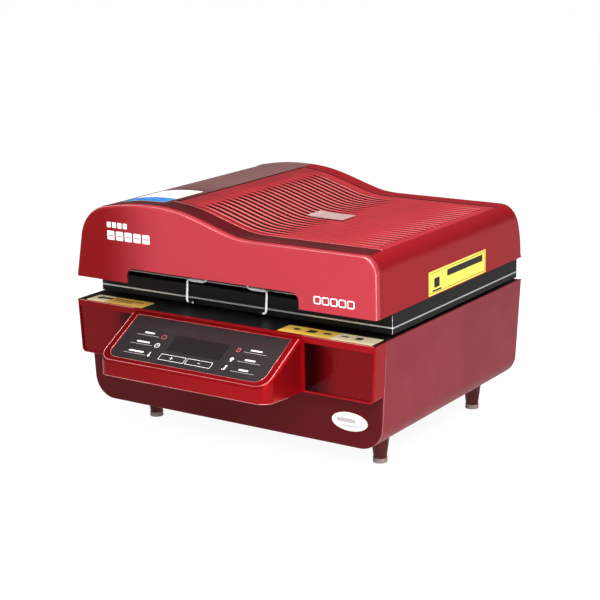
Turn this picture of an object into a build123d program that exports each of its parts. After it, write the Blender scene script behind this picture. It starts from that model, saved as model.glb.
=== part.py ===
"""Three-dimensional vacuum sublimation press: a lidded A3 oven over a vacuum tray.

Millimetres, +Z up, origin on the floor under the middle of the bounding box.
-Y is the operator's side, where the sloping console is.
"""
from build123d import *
from math import cos, hypot, pi, radians, sin, tan
import os

os.makedirs("parts", exist_ok=True)

# ---------------------------------------------------------------- driving sizes
BODY_W = 602.0            # width of the base at its top
LID_W = 604.0             # width of the lid at its rim
SIDE_REAR_Y = 306.0       # rear edges of the base's side panels
BODY_REAR_Y = 303.0       # rear panel, set in between them
LID_REAR_Y = 304.0        # rear face of the lid
CONSOLE_FRONT_Y = -306.0  # nose of the console
LID_FRONT_Y = -202.0      # front face of the lid
HOUSING_FRONT_Y = -203.5  # front face of the control housing
SEAM_Y = -172.0           # seam between the front mouldings and the side panels

BASE_BOTTOM_Z = 54.5      # underside of the base
HOUSING_BOTTOM_Z = 142.5  # underside of the control housing
BASE_TOP_Z = 237.0        # top of the base
LID_BOTTOM_Z = 278.0      # lower rim of the lid
PLATEAU_Z = 376.5         # flat right-hand part of the lid top
CREST_Z = 415.7           # crest of the lid top, without the ribs
PLATEAU_X = 78.0          # where the S-curve has come down to the plateau
LID_CREST = [(-210, 410.7), (-180, 414.3), (-145, CREST_Z), (-112, 414.5), (-80, 410.4), (-41, 400.6),
             (20, 382)]   # x and z along the top, from the left shoulder to the plateau

SKIN = 3.0                # wall of the plastic mouldings
SHEET = 1.5               # wall of the sheet-metal pieces
FIT = 0.3                 # clearance between pieces that only pass each other
RUNNING = 0.05            # radial clearance of a shaft or pin that turns

# base
BASE_TAPER = 10.0         # each side comes in this much on its way down
BASE_CORNER_R = 40.0      # lower side corners
HOUSING_CORNER_R = 8.0    # lower side corners of the housing
HOUSING_EDGE_R = 1.5      # upright front edges of the housing
WINDOW_TOP_GAP = 12.0     # top of the housing to the top of a window
WINDOW_GAP = 4.0          # window to the housing's sides, its bottom and the console
WINDOW_RECESS = 2.5
WINDOW_FLANGE = 2.0       # how far a window's flange reaches behind the wall

# console
CONSOLE_X = -4.5          # middle of the console
CONSOLE_W = 339.0
CONSOLE_TOP_Z = 231.0     # where the slope leaves the housing
CONSOLE_NOSE_Z = 172.0    # lower end of the slope
CONSOLE_LIP_Z = 148.0     # bottom of the nose
CONSOLE_CORNER_R = 25.0   # corners of the slope's outline
NOSE_CORNER_R = 22.0      # upright corners of the nose
BEZEL_SIDE_W = 15.0
BEZEL_TOP_W = 8.0
BEZEL_BOTTOM_W = 12.0
BEZEL_H = 3.0
BEZEL_OUTER_R, BEZEL_INNER_R = 2.4, 1.0
OVERLAY_T = 2.0
OVERLAY_CORNER_R = 18.0
OVERLAY_LEDGE = 8.0       # seat of the overlay on the housing
DISPLAY_W, DISPLAY_H = 108.0, 36.0
PANEL_SPACE = 8.8         # from the overlay's frame to the circuit board

# deck, tray and what is under it
DECK_T = 2.0
TRAY_W, TRAY_D, TRAY_DEPTH = 490.0, 340.0, 58.0
TRAY_Y = 75.0             # middle of the tray
TRAY_RIM = 24.0
TRAY_CORNER_R = 18.0
TRAY_BOTTOM_R = 8.0
DRAIN_R = 5.0
GASKET_W = 8.0
PLATEN_T = 3.0
PLATEN_GAP = 4.0          # air space under the platen
PLATEN_FOOT_X, PLATEN_FOOT_Y, PLATEN_FOOT_R = 40.0, 30.0, 5.0
HOLE_PITCH = 36.0
HOLE_R = 3.0
HEATER_R = 4.0
HEATER_INSET, HEATER_STEP, HEATER_RUNS = 45.0, 44.0, 6
CLAMP_X, CLAMP_W, CLAMP_T, STUD_R = 120.0, 12.0, 2.0, 2.5
SHIELD_GAP = 14.0         # insulation between the tray and the shield
SHIELD_DEPTH = 30.0       # from the tray's underside to the shield's floor
SHIELD_FLANGE = 12.0
PORT_CLEAR_R = 12.0       # hole round the tray's port

# membrane frame
FRAME_W = 592.0
FRAME_FRONT_Y, FRAME_REAR_Y = -143.5, 300.0
FRAME_NOTCH_Y = 291.0     # the rear rail is cut back to here at the hinges
FRAME_BAR = 38.0          # width of the rails seen from above
FRAME_R = 4.0
RAIL_WALL = 11.0          # wall of the upper rail's U-section
LOWER_RAIL_Z, LOWER_RAIL_H = 241.5, 9.5
TRIM_H, TRIM_LIP = 2.5, 1.0
MEMBRANE_T, MEMBRANE_INSET = 1.0, 6.0
UPPER_RAIL_H = 22.0
RAIL_TOP_R = 3.0
FRAME_SCREWS = 7          # in each of the front and rear rails

# bail handle
BAIL_R = 2.0
BAIL_Y = -149.0
BAIL_LEAN = 6.0           # degrees it rests back towards the frame
LUG_R = 4.0
BAIL_PIVOT_Z = 245.0
BAIL_LEFT_X, BAIL_RIGHT_X = -104.0, 59.0
BAIL_SHELF_Z, BAIL_GRIP_Z = 283.0, 298.0
BAIL_GRIP_INSET = 39.0
BAIL_BEND_R = 5.0
BAIL_FOOT = 13.0
SLEEVE_R = 3.1
SLEEVE_L = 24.0

# hinge of the lid and of the frame
HINGE_Y, HINGE_Z = 299.5, 257.0
HINGE_X = 190.0
PIN_R = 3.0
KNUCKLE_R = 6.0
KNUCKLE_L = 14.0
NOTCH_SIDE = 4.0          # room beside the hinge pin in the frame's notch
BRACKET_LOW_Z = 196.0     # lower end of the brackets on the rear panel
ARM_RISE = 18.0           # how far the lid's arms reach up its rear wall
ARM_REAR_Y = 300.0        # rear of those arms, inside that wall

# lid
LID_LEAN = 13.5           # the left side leans in this much
LID_DRAFT = 1.0           # the right side leans in this much
SHOULDER_Z = 352.0        # where the left side starts to curve over
SHOULDER_R, SHOULDER_TURN = 67.5, 69.0  # radius of that curve, and the degrees it turns
LID_CORNER_R = 28.0
REAR_DEPTH = 25.0         # length of the rounded corner at the lid's rear
REAR_LEAN = 8.3           # the rear wall leans in this much on its way up
REAR_POWER_Y, REAR_POWER_Z = 3.9, 2.4   # exponents of that corner's superellipse
REAR_SECTIONS, REAR_REACH = 7, 0.985    # sections of it, and how near they come to its end
FASCIA_DEPTH = 12.0
FASCIA_EDGE_R = 5.0
NOTCH_X0, NOTCH_X1, NOTCH_TOP_Z = -189.0, 159.0, 304.0
NOTCH_R = 14.0
PANEL_X0, PANEL_X1 = -122.0, 279.0
PANEL_Y0, PANEL_Y1 = -146.0, 243.0
PANEL_T = 2.2
PANEL_GROOVE = 1.0
RIB_COUNT = 24
RIB_PITCH = 15.0
RIB_W, RIB_H = 6.0, 1.4
RIB_X0, RIB_X1 = -88.0, 268.0
RIB_FIRST_Y = -131.0

# oven chamber in the lid
CHAMBER_W, CHAMBER_Y0, CHAMBER_Y1 = 504.0, -118.0, 252.0
CHAMBER_TOP_Z = 352.0
CHAMBER_RIM_Z = 281.0
FLANGE_REACH = 20.0       # the flange goes this far past the chamber, front and rear
BLANKET_T = 14.0
HAIRPIN = 44.0            # between the two legs of a lid heater
PROBE_R, PROBE_DROP = 2.0, 15.0
BAFFLE_INSET = 32.0       # from the lid's sides to the ends of the front baffle
IMPELLER_X, IMPELLER_Y, IMPELLER_R = -127.0, 63.0, 62.0
MOTOR_R, MOTOR_H = 34.0, 44.0
SHAFT_R = 4.0

# feet
FOOT_INSET = 66.0         # from the side of the base to a foot's middle
FOOT_FRONT_Y, FOOT_REAR_Y = -80.0, 249.0
FOOT_TOP_R, FOOT_TIP_R = 17.0, 11.0
PAD_H, PAD_R = 8.0, 12.0

# vacuum and power under the deck
PUMP_X, PUMP_Y, PUMP_Z = -140.0, 90.0, 106.0
PUMP_REACH = 50.0         # from the pump's middle to each of its heads
PUMP_MOTOR_R, PUMP_MOTOR_L = 28.0, 68.0
CRANK_W, CRANK_D, CRANK_LOW, CRANK_HIGH = 32.0, 52.0, 26.0, 20.0
HEAD_R, HEAD_H = 22.0, 14.0
PUMP_FOOT_W, PUMP_FOOT_D, PUMP_FOOT_H = 24.0, 72.0, 6.0
MOUNT_R, MOUNT_Y = 8.0, 28.0
OUTLET_R, OUTLET_Y, OUTLET_RISE = 5.0, 42.0, 10.0
PORT_R, PORT_L, PORT_BORE_R = 4.9, 36.0, 3.0
HOSE_R, HOSE_BEND_R = 5.0, 18.0
VALVE_Y, VALVE_Z, VALVE_SIZE = 163.0, 100.0, 24.0
BOARD_X, BOARD_Y, BOARD_RISE, BOARD_T = (90.0, 220.0), (20.0, 130.0), 10.0, 1.6
PILLAR_R, PILLAR_INSET = 3.5, 7.0

# services on the rear wall
VENT_X, VENT_Y, VENT_L, VENT_W, VENT_PITCH, VENT_COUNT = -190.0, -60.0, 120.0, 4.0, 12.0, 8
FAN_X, FAN_Z, FAN_SIZE, FAN_DEPTH = -180.0, 150.0, 80.0, 25.0
INLET_X, SWITCH_X, FUSE_X, SERVICE_Z = 200.0, 150.0, 112.0, 112.0
FUSE_R = 6.0
AXLE_R, AXLE_L, AXLE_SET, ROCKER_TILT = 1.0, 12.0, 2.0, 8.0
FAN_HUB_R, FAN_SHAFT_R, FAN_BLADES = 17.0, 1.5, 7
GUARD_R = 1.2
SCREW_R, SCREW_HEAD_R, SCREW_HEAD_H = 2.0, 3.8, 2.2
SCREW_INSET = 61.0        # from the side of the base to the outer case screws
SCREW_LOW, SCREW_DROP = 35.0, 12.0      # from its bottom and from its top

# blank labels
LABEL_T = 0.25
LABEL_GAP = 0.05          # glue line under a label on a curved face
LEDGE_LABELS_X = ((-284.0, -163.0), (115.0, 291.0))
OVAL_X, OVAL_Z, OVAL_W, OVAL_H = 235.0, 97.0, 66.6, 31.0
SIDE_LABEL_Y, SIDE_LABEL_Z = (-38.0, 162.0), (280.0, 320.0)
CREST_LABEL_X, CREST_LABEL_Y = (-222.0, -134.0), (-164.0, -54.0)
BADGE_X, BADGE_Y, BADGE_T = (38.0, 110.0), (10.0, 53.0), 1.2


# ---------------------------------------------------------------- small helpers
def block(x0, x1, y0, y1, z0, z1):
    """A box between two corners."""
    return Pos((x0 + x1) / 2, (y0 + y1) / 2, (z0 + z1) / 2) * Box(x1 - x0, y1 - y0, z1 - z0)


def rod_x(x0, x1, y, z, r):
    return Pos((x0 + x1) / 2, y, z) * Rot(0, 90, 0) * Cylinder(r, x1 - x0)


def rod_y(y0, y1, x, z, r):
    return Pos(x, (y0 + y1) / 2, z) * Rot(90, 0, 0) * Cylinder(r, y1 - y0)


def rod_z(z0, z1, x, y, r):
    return Pos(x, y, (z0 + z1) / 2) * Cylinder(r, z1 - z0)


def along_x(sketch, x0, x1):
    return Pos(x0, 0, 0) * extrude(Plane.YZ * sketch, x1 - x0)


def along_y(sketch, y0, y1):
    return Pos(0, y1, 0) * extrude(Plane.XZ * sketch, y1 - y0)


def along_z(sketch, z0, z1):
    return Pos(0, 0, z0) * extrude(sketch, z1 - z0)


def polygon(*points):
    return make_face(Polyline(*points, close=True))


def rounded(x0, x1, y0, y1, r):
    """A rounded rectangle between two corners of a sketch."""
    return Pos((x0 + x1) / 2, (y0 + y1) / 2) * RectangleRounded(x1 - x0, y1 - y0, r)


def ring(x0, x1, y0, y1, bar, r):
    """A rounded rectangular ring whose bars are all equally wide."""
    inner_r = max(r - bar, r / 2)
    return rounded(x0, x1, y0, y1, r) - rounded(x0 + bar, x1 - bar, y0 + bar, y1 - bar, inner_r)


def tube(points, radii, r):
    """A round bar along straight runs joined by arcs."""
    path = FilletPolyline(*points, radius=radii)
    start = Plane(origin=path @ 0, z_dir=path % 0)
    return sweep(start * Circle(r), path=path)


def save(name, *solids):
    shape = solids[0] if len(solids) == 1 else Compound(children=list(solids))
    export_step(shape, "parts/" + name + ".step")


# ---------------------------------------------------------------- base shell
def half_width(z):
    """Half the width of the base at height z."""
    share = (BASE_TOP_Z - z) / (BASE_TOP_Z - BASE_BOTTOM_Z)
    return BODY_W / 2 - BASE_TAPER * share


def base_outline(inset, top_z):
    """Front view of the base: tapered sides and round lower corners."""
    top = half_width(top_z) - inset
    low_z = BASE_BOTTOM_Z + inset
    low = half_width(low_z) - inset
    face = polygon((-top, top_z), (-low, low_z), (low, low_z), (top, top_z))
    return fillet(face.vertices().group_by(Axis.Y)[0], BASE_CORNER_R - inset)


def base_panels():
    """The wrap-round lower body, cut into sides and bottom, and the rear panel set into it."""
    shell = along_y(base_outline(0, BASE_TOP_Z), SEAM_Y, SIDE_REAR_Y)
    shell = shell - along_y(base_outline(SKIN, BASE_TOP_Z + 1), SEAM_Y - 1, SIDE_REAR_Y + 1)
    side_x = half_width(BASE_BOTTOM_Z) - BASE_CORNER_R
    low, high = BASE_BOTTOM_Z - 1, BASE_TOP_Z + 2
    right = shell - block(-BODY_W, side_x, SEAM_Y - 1, SIDE_REAR_Y + 1, low, high)
    left = shell - block(-side_x, BODY_W, SEAM_Y - 1, SIDE_REAR_Y + 1, low, high)
    bottom = shell & block(-side_x, side_x, SEAM_Y - 1, SIDE_REAR_Y + 1, low, high)
    rear = along_y(base_outline(SKIN + FIT, BASE_TOP_Z), BODY_REAR_Y - SKIN, BODY_REAR_Y)
    return left, right, rear - rear_openings(), bottom - bottom_vents()


def bottom_vents():
    """Ventilation slots in the bottom, under the boards."""
    low, high = BASE_BOTTOM_Z - 1, BASE_BOTTOM_Z + SKIN + 1
    return [block(VENT_X, VENT_X + VENT_L, y, y + VENT_W, low, high)
            for y in [VENT_Y + k * VENT_PITCH for k in range(VENT_COUNT)]]


def rear_openings():
    """Cut-outs of the rear wall for the fan, the inlet, the switch and the fuse."""
    y0, y1 = BODY_REAR_Y - SKIN - 1, BODY_REAR_Y + 1
    return [
        rod_y(y0, y1, FAN_X, FAN_Z, FAN_SIZE / 2 - 2),
        block(INLET_X - 14, INLET_X + 14, y0, y1, SERVICE_Z - 10, SERVICE_Z + 10),
        block(SWITCH_X - 7, SWITCH_X + 7, y0, y1, SERVICE_Z - 10, SERVICE_Z + 10),
        rod_y(y0, y1, FUSE_X, SERVICE_Z, FUSE_R + 0.2),
    ] + [rod_y(y0, y1, x, z, SCREW_R) for x, z in case_screw_places()]


def lower_front_panel():
    """The plain front under the housing; it fills the corners beside the housing's round ones."""
    panel = along_y(base_outline(0, HOUSING_BOTTOM_Z + HOUSING_CORNER_R), SEAM_Y - SKIN, SEAM_Y)
    front = panel.faces().sort_by(Axis.Y)[0]
    edges = [e for e in front.edges() if e.center().Z < HOUSING_BOTTOM_Z]
    panel = fillet(edges, SKIN * 0.6)
    return panel - along_y(housing_outline(-RUNNING), SEAM_Y - 2 * SKIN, SEAM_Y + 1)


# ---------------------------------------------------------------- control housing
def housing_outline(inset):
    """Front view of the housing: the base's tapered sides and its own lower corners."""
    top, low_z = BASE_TOP_Z + max(inset, 0), HOUSING_BOTTOM_Z + inset
    wide, narrow = half_width(top) - inset, half_width(low_z) - inset
    face = polygon((-wide, top), (-narrow, low_z), (narrow, low_z), (wide, top))
    return fillet(face.vertices().group_by(Axis.Y)[0], HOUSING_CORNER_R - inset)


SLOPE = hypot(HOUSING_FRONT_Y - CONSOLE_FRONT_Y, CONSOLE_TOP_Z - CONSOLE_NOSE_Z)
SLOPE_N = (0, -(CONSOLE_TOP_Z - CONSOLE_NOSE_Z) / SLOPE, (HOUSING_FRONT_Y - CONSOLE_FRONT_Y) / SLOPE)
SLOPE_PLANE = Plane(
    origin=(CONSOLE_X, (HOUSING_FRONT_Y + CONSOLE_FRONT_Y) / 2, (CONSOLE_TOP_Z + CONSOLE_NOSE_Z) / 2),
    x_dir=(1, 0, 0), z_dir=SLOPE_N)


def on_slope(sketch, low, high):
    """A plate on the console's slope, between two heights over it."""
    return extrude(SLOPE_PLANE.offset(low) * sketch, high - low)


def slope_outline(side, top, bottom, r):
    """The console's outline on its slope, moved in by different margins."""
    x = CONSOLE_W / 2 - side
    y0, y1 = -SLOPE / 2 + bottom, SLOPE / 2 - top
    face = polygon((-x, y0), (x, y0), (x, y1), (-x, y1))
    return fillet(face.vertices().group_by(Axis.Y)[0], r)


def console_wedge(inset):
    """The wedge that stands out of the housing."""
    face = polygon(
        (SEAM_Y, CONSOLE_TOP_Z - inset), (HOUSING_FRONT_Y, CONSOLE_TOP_Z - inset),
        (CONSOLE_FRONT_Y + inset, CONSOLE_NOSE_Z - inset), (CONSOLE_FRONT_Y + inset, CONSOLE_LIP_Z + inset),
        (HOUSING_FRONT_Y, HOUSING_BOTTOM_Z + inset), (SEAM_Y, HOUSING_BOTTOM_Z + inset))
    half = CONSOLE_W / 2 - inset
    wedge = along_x(face, CONSOLE_X - half, CONSOLE_X + half)
    plan = rounded(CONSOLE_X - half, CONSOLE_X + half, CONSOLE_FRONT_Y + inset, SEAM_Y + 2 * NOSE_CORNER_R,
                   NOSE_CORNER_R - inset)
    return wedge & along_z(plan, 0, CONSOLE_TOP_Z)


def control_housing():
    """The front moulding: a hollow box with the console's wedge and two windows."""
    box = along_y(housing_outline(0), HOUSING_FRONT_Y, SEAM_Y)
    front = box.faces().sort_by(Axis.Y)[0]
    box = fillet(front.edges(), HOUSING_EDGE_R)
    inner = along_y(housing_outline(SKIN), HOUSING_FRONT_Y + SKIN, SEAM_Y + 1)
    housing = box + console_wedge(0)
    housing = housing - inner - console_wedge(SKIN)
    for face in window_outlines(FIT):
        housing = housing - along_y(face, HOUSING_FRONT_Y - 1, HOUSING_FRONT_Y + SKIN + 1)
    seat = slope_outline(BEZEL_SIDE_W + OVERLAY_LEDGE, BEZEL_TOP_W + OVERLAY_LEDGE,
                         BEZEL_BOTTOM_W + OVERLAY_LEDGE, OVERLAY_CORNER_R - OVERLAY_LEDGE)
    return housing - on_slope(seat, -3 * SKIN, 3 * SKIN)


def window_outlines(grow, top_lip=0):
    """Front view of the windows on either side of the console, grown by a margin."""
    low, high = HOUSING_BOTTOM_Z, BASE_TOP_Z - WINDOW_TOP_GAP + grow + top_lip
    half = CONSOLE_W / 2 + WINDOW_GAP - grow
    left = polygon((-BODY_W, low), (CONSOLE_X - half, low), (CONSOLE_X - half, high), (-BODY_W, high))
    right = polygon((CONSOLE_X + half, low), (BODY_W, low), (BODY_W, high), (CONSOLE_X + half, high))
    return [left & housing_outline(WINDOW_GAP - grow), right & housing_outline(WINDOW_GAP - grow)]


def housing_windows():
    """Each gloss panel, with the flange that holds it behind the housing's wall."""
    back = HOUSING_FRONT_Y + SKIN
    faces = [along_y(face, HOUSING_FRONT_Y + WINDOW_RECESS, back + SHEET) for face in window_outlines(0)]
    flange_grow = WINDOW_GAP - SKIN - FIT
    flanges = [along_y(face, back, back + SHEET) for face in window_outlines(flange_grow, WINDOW_FLANGE)]
    return [face + flange for face, flange in zip(faces, flanges)]


def console_bezel():
    """The raised rim round the overlay."""
    outer = slope_outline(1, 2, 1, CONSOLE_CORNER_R - 1)
    inner = slope_outline(BEZEL_SIDE_W, BEZEL_TOP_W, BEZEL_BOTTOM_W, OVERLAY_CORNER_R)
    bar = on_slope(outer - inner, 0, BEZEL_H)
    top = bar.faces().sort_by(Axis(SLOPE_PLANE.origin, SLOPE_PLANE.z_dir))[-1]
    bar = fillet(top.outer_wire().edges(), BEZEL_OUTER_R)
    top = bar.faces().sort_by(Axis(SLOPE_PLANE.origin, SLOPE_PLANE.z_dir))[-1]
    return fillet(top.inner_wires()[0].edges(), BEZEL_INNER_R)


def overlay_outline(clearance):
    return slope_outline(BEZEL_SIDE_W + clearance, BEZEL_TOP_W + clearance, BEZEL_BOTTOM_W + clearance,
                         OVERLAY_CORNER_R - clearance)


def control_overlay():
    plate = on_slope(overlay_outline(FIT), 0, OVERLAY_T)
    return plate - on_slope(display_outline(0), -1, OVERLAY_T + 1)


def display_outline(clearance):
    return Pos(1, 2) * RectangleRounded(DISPLAY_W - 2 * clearance, DISPLAY_H - 2 * clearance, 2)


def display_window():
    return on_slope(display_outline(0.05), 0, OVERLAY_T)


def control_board():
    """The circuit board behind the overlay, on six pillars from its frame."""
    margin, seat_t = OVERLAY_LEDGE + 1, BOARD_T
    outline = slope_outline(BEZEL_SIDE_W + margin, BEZEL_TOP_W + margin, BEZEL_BOTTOM_W + margin,
                            OVERLAY_CORNER_R - 6)
    board_w, board_h = CONSOLE_W - 70, SLOPE - 50
    frame = on_slope(outline - Rectangle(board_w - 20, board_h - 16), -seat_t, 0)
    top = -seat_t - PANEL_SPACE
    board = on_slope(Rectangle(board_w, board_h), top - BOARD_T, top)
    for x in (-110, 0, 110):
        for y in (-30, 30):
            board = board + on_slope(Pos(x, y) * Circle(3), top, -seat_t)
    # place and length of the chips under the board
    for x, length in ((-80, 30), (-20, 22), (50, 40)):
        board = board + on_slope(Pos(x, 5) * Rectangle(length, 16), top - BOARD_T - 4, top - BOARD_T)
    return board + frame


# ---------------------------------------------------------------- deck and tray
TRAY_BOTTOM_Z = BASE_TOP_Z - TRAY_DEPTH
TRAY_X = TRAY_W / 2
TRAY_Y0, TRAY_Y1 = TRAY_Y - TRAY_D / 2, TRAY_Y + TRAY_D / 2


def tray_outline(grow):
    r = max(TRAY_CORNER_R + grow, 1)
    return rounded(-TRAY_X - grow, TRAY_X + grow, TRAY_Y0 - grow, TRAY_Y1 + grow, r)


def top_deck():
    half = half_width(BASE_TOP_Z - DECK_T) - SKIN - FIT
    y0, y1 = HOUSING_FRONT_Y + SKIN + FIT, HINGE_Y - KNUCKLE_R - 2
    deck = block(-half, half, y0, y1, BASE_TOP_Z - DECK_T, BASE_TOP_Z)
    return deck - along_z(tray_outline(SHEET + FIT), BASE_TOP_Z - 10, BASE_TOP_Z + 1)


def vacuum_tray():
    """A drawn stainless dish, hung in the deck by its rim."""
    rim = along_z(tray_outline(TRAY_RIM), BASE_TOP_Z, BASE_TOP_Z + SHEET)
    body = along_z(tray_outline(SHEET), TRAY_BOTTOM_Z, BASE_TOP_Z + SHEET)
    body = fillet(body.faces().sort_by(Axis.Z)[0].edges(), TRAY_BOTTOM_R)
    hollow = along_z(tray_outline(0), TRAY_BOTTOM_Z + SHEET, BASE_TOP_Z + 2 * SHEET)
    hollow = fillet(hollow.faces().sort_by(Axis.Z)[0].edges(), TRAY_BOTTOM_R - SHEET)
    return (rim + body) - hollow - rod_z(TRAY_BOTTOM_Z - 1, TRAY_BOTTOM_Z + 5, 0, TRAY_Y, DRAIN_R)


def tray_gasket():
    """A flat silicone ring between the tray's rim and the lower rail."""
    grow = TRAY_RIM - 2
    ring = tray_outline(grow) - tray_outline(grow - GASKET_W)
    return along_z(ring, BASE_TOP_Z + SHEET, LOWER_RAIL_Z - FIT)


def perforated_platen():
    """The flat work plate, drilled in rows so the pump draws evenly."""
    z0 = TRAY_BOTTOM_Z + SHEET + PLATEN_GAP
    plate = along_z(tray_outline(-2), z0, z0 + PLATEN_T)
    columns, rows = int(TRAY_W // HOLE_PITCH) - 1, int(TRAY_D // HOLE_PITCH) - 1
    holes = [
        rod_z(z0 - 1, z0 + PLATEN_T + 1, (i - (columns - 1) / 2) * HOLE_PITCH,
              TRAY_Y + (j - (rows - 1) / 2) * HOLE_PITCH, HOLE_R)
        for i in range(columns) for j in range(rows)]
    plate = plate - holes
    far, near = TRAY_X - PLATEN_FOOT_X, TRAY_X / 4
    for x in (-far, -near, near, far):
        for y in (TRAY_Y0 + PLATEN_FOOT_Y, TRAY_Y1 - PLATEN_FOOT_Y):
            plate = plate + rod_z(TRAY_BOTTOM_Z + SHEET, z0, x, y, PLATEN_FOOT_R)
    return plate


def tray_heater():
    """A sheathed element bent to and fro under the tray."""
    z = TRAY_BOTTOM_Z - HEATER_R
    reach, step = TRAY_X - HEATER_INSET, HEATER_STEP
    points = []
    for k in range(HEATER_RUNS):
        y = TRAY_Y + (k - (HEATER_RUNS - 1) / 2) * step
        ends = (-reach, reach) if k % 2 == 0 else (reach, -reach)
        points += [(ends[0], y, z), (ends[1], y, z)]
    return tube(points, step / 2 - 0.5, HEATER_R)


def heater_clamps():
    """Bars that press the element against the tray."""
    z = TRAY_BOTTOM_Z - 2 * HEATER_R
    reach = HEATER_STEP * (HEATER_RUNS - 1) / 2 + CLAMP_W + 3
    bars = []
    for x in (-CLAMP_X, CLAMP_X):
        bar = block(x - CLAMP_W / 2, x + CLAMP_W / 2, TRAY_Y - reach, TRAY_Y + reach, z - CLAMP_T, z)
        studs = [rod_z(z, TRAY_BOTTOM_Z, x, TRAY_Y + k * 2 * HEATER_STEP, STUD_R) for k in (-1, 0, 1)]
        bars.append(bar + studs)
    return bars


SHIELD_Z = TRAY_BOTTOM_Z - SHIELD_DEPTH


def base_insulation():
    """Mineral wool in the floor of the heat shield."""
    pad = along_z(tray_outline(SHIELD_GAP - 2), SHIELD_Z + SHEET, TRAY_BOTTOM_Z - 2 * HEATER_R - CLAMP_T)
    return pad - rod_z(SHIELD_Z - 1, TRAY_BOTTOM_Z, 0, TRAY_Y, PORT_CLEAR_R)


def heat_shield():
    """A deep pan round the hot tray, hung under the deck."""
    top = BASE_TOP_Z - DECK_T
    pan = along_z(tray_outline(SHIELD_GAP + SHEET), SHIELD_Z, top)
    pan = pan - along_z(tray_outline(SHIELD_GAP), SHIELD_Z + SHEET, top + 1)
    flange = along_z(tray_outline(SHIELD_GAP + SHIELD_FLANGE) - tray_outline(SHIELD_GAP), top - SHEET, top)
    return pan + flange - rod_z(SHIELD_Z - 1, SHIELD_Z + 5, 0, TRAY_Y, PORT_CLEAR_R)


def tray_port():
    """The nipple under the tray's drain hole."""
    z = TRAY_BOTTOM_Z
    body = rod_z(z - 6, z, 0, TRAY_Y, 9) + rod_z(z - PORT_L, z + SHEET, 0, TRAY_Y, PORT_R)
    return body - rod_z(z - PORT_L - 1, z + 5, 0, TRAY_Y, PORT_BORE_R)


# ---------------------------------------------------------------- vacuum and power
FLOOR_Z = BASE_BOTTOM_Z + SKIN


def vacuum_pump():
    """A twin-head diaphragm pump, lying across the base."""
    pump = rod_x(PUMP_X - PUMP_MOTOR_L / 2, PUMP_X + PUMP_MOTOR_L / 2, PUMP_Y, PUMP_Z, PUMP_MOTOR_R)
    top, low = PUMP_Z + CRANK_HIGH, PUMP_Z - CRANK_LOW
    for side in (-1, 1):
        x = PUMP_X + side * PUMP_REACH
        pump = pump + block(x - CRANK_W / 2, x + CRANK_W / 2, PUMP_Y - CRANK_D / 2, PUMP_Y + CRANK_D / 2,
                            low, top)
        pump = pump + rod_z(top, top + HEAD_H, x, PUMP_Y, HEAD_R)
        pump = pump + block(x - PUMP_FOOT_W / 2, x + PUMP_FOOT_W / 2, PUMP_Y - PUMP_FOOT_D / 2,
                            PUMP_Y + PUMP_FOOT_D / 2, low - PUMP_FOOT_H, low)
    outlet_x = PUMP_X + PUMP_REACH
    return pump + rod_y(PUMP_Y + HEAD_R, PUMP_Y + OUTLET_Y, outlet_x, PUMP_Z + OUTLET_RISE, OUTLET_R)


def pump_mounts():
    """Rubber blocks between the pump's feet and the bottom plate."""
    foot_z = PUMP_Z - CRANK_LOW - PUMP_FOOT_H
    return [rod_z(FLOOR_Z, foot_z, PUMP_X + dx, PUMP_Y + dy, MOUNT_R)
            for dx in (-PUMP_REACH, PUMP_REACH) for dy in (-MOUNT_Y, MOUNT_Y)]


def release_valve():
    """The solenoid valve that lets the air back in, on a foot of its own."""
    half, foot_t = VALVE_SIZE / 2, 2
    low, top = VALVE_Z - half, VALVE_Z + half
    valve = block(-half, half, VALVE_Y - half - 1, VALVE_Y + half + 1, low, top)
    valve = valve + rod_z(top, top + 20, 0, VALVE_Y, half - 2)
    valve = valve + block(-half - 4, half + 4, VALVE_Y - half + 1, VALVE_Y + half - 1,
                          FLOOR_Z, FLOOR_Z + foot_t)
    return valve + block(-half / 3, half / 3, VALVE_Y - 5, VALVE_Y + 5, FLOOR_Z + foot_t, low)


def vacuum_hose():
    """From the pump's outlet across to the tray's port."""
    x, y, z = PUMP_X + PUMP_REACH, PUMP_Y + OUTLET_Y + FIT, PUMP_Z + OUTLET_RISE
    end = (0, TRAY_Y, TRAY_BOTTOM_Z - PORT_L - FIT)
    turn_y = y + 2 * HOSE_BEND_R + 4
    points = [(x, y, z), (x, turn_y, z), (-40, turn_y, z), (-26, TRAY_Y + 40, z), (0, TRAY_Y, z - 12), end]
    return tube(points, [HOSE_BEND_R, HOSE_BEND_R, HOSE_BEND_R, 7], HOSE_R)


def power_board():
    """The relay and supply board, on its pillars."""
    (x0, x1), (y0, y1) = BOARD_X, BOARD_Y
    low = FLOOR_Z + BOARD_RISE
    top = low + BOARD_T
    board = block(x0, x1, y0, y1, low, top)
    for x in (x0 + PILLAR_INSET, x1 - PILLAR_INSET):
        for y in (y0 + PILLAR_INSET, y1 - PILLAR_INSET):
            board = board + rod_z(FLOOR_Z, low, x, y, PILLAR_R)
    # place on the board, length, depth and height: terminals, two relays, transformer and heat sink
    for dx, dy, length, depth, height in ((10, 15, 30, 25, 22), (50, 15, 18, 25, 18), (75, 15, 18, 25, 18),
                                          (10, 60, 25, 35, 28), (50, 75, 70, 23, 14)):
        board = board + block(x0 + dx, x0 + dx + length, y0 + dy, y0 + dy + depth, top, top + height)
    return board + rod_z(top, top + 26, x1 - 20, y0 + 30, 9)


def service_block(x, half_w, half_h, y0, y1):
    """A box about the middle of one of the services."""
    return block(x - half_w, x + half_w, BODY_REAR_Y + y0, BODY_REAR_Y + y1, SERVICE_Z - half_h,
                 SERVICE_Z + half_h)


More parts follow.
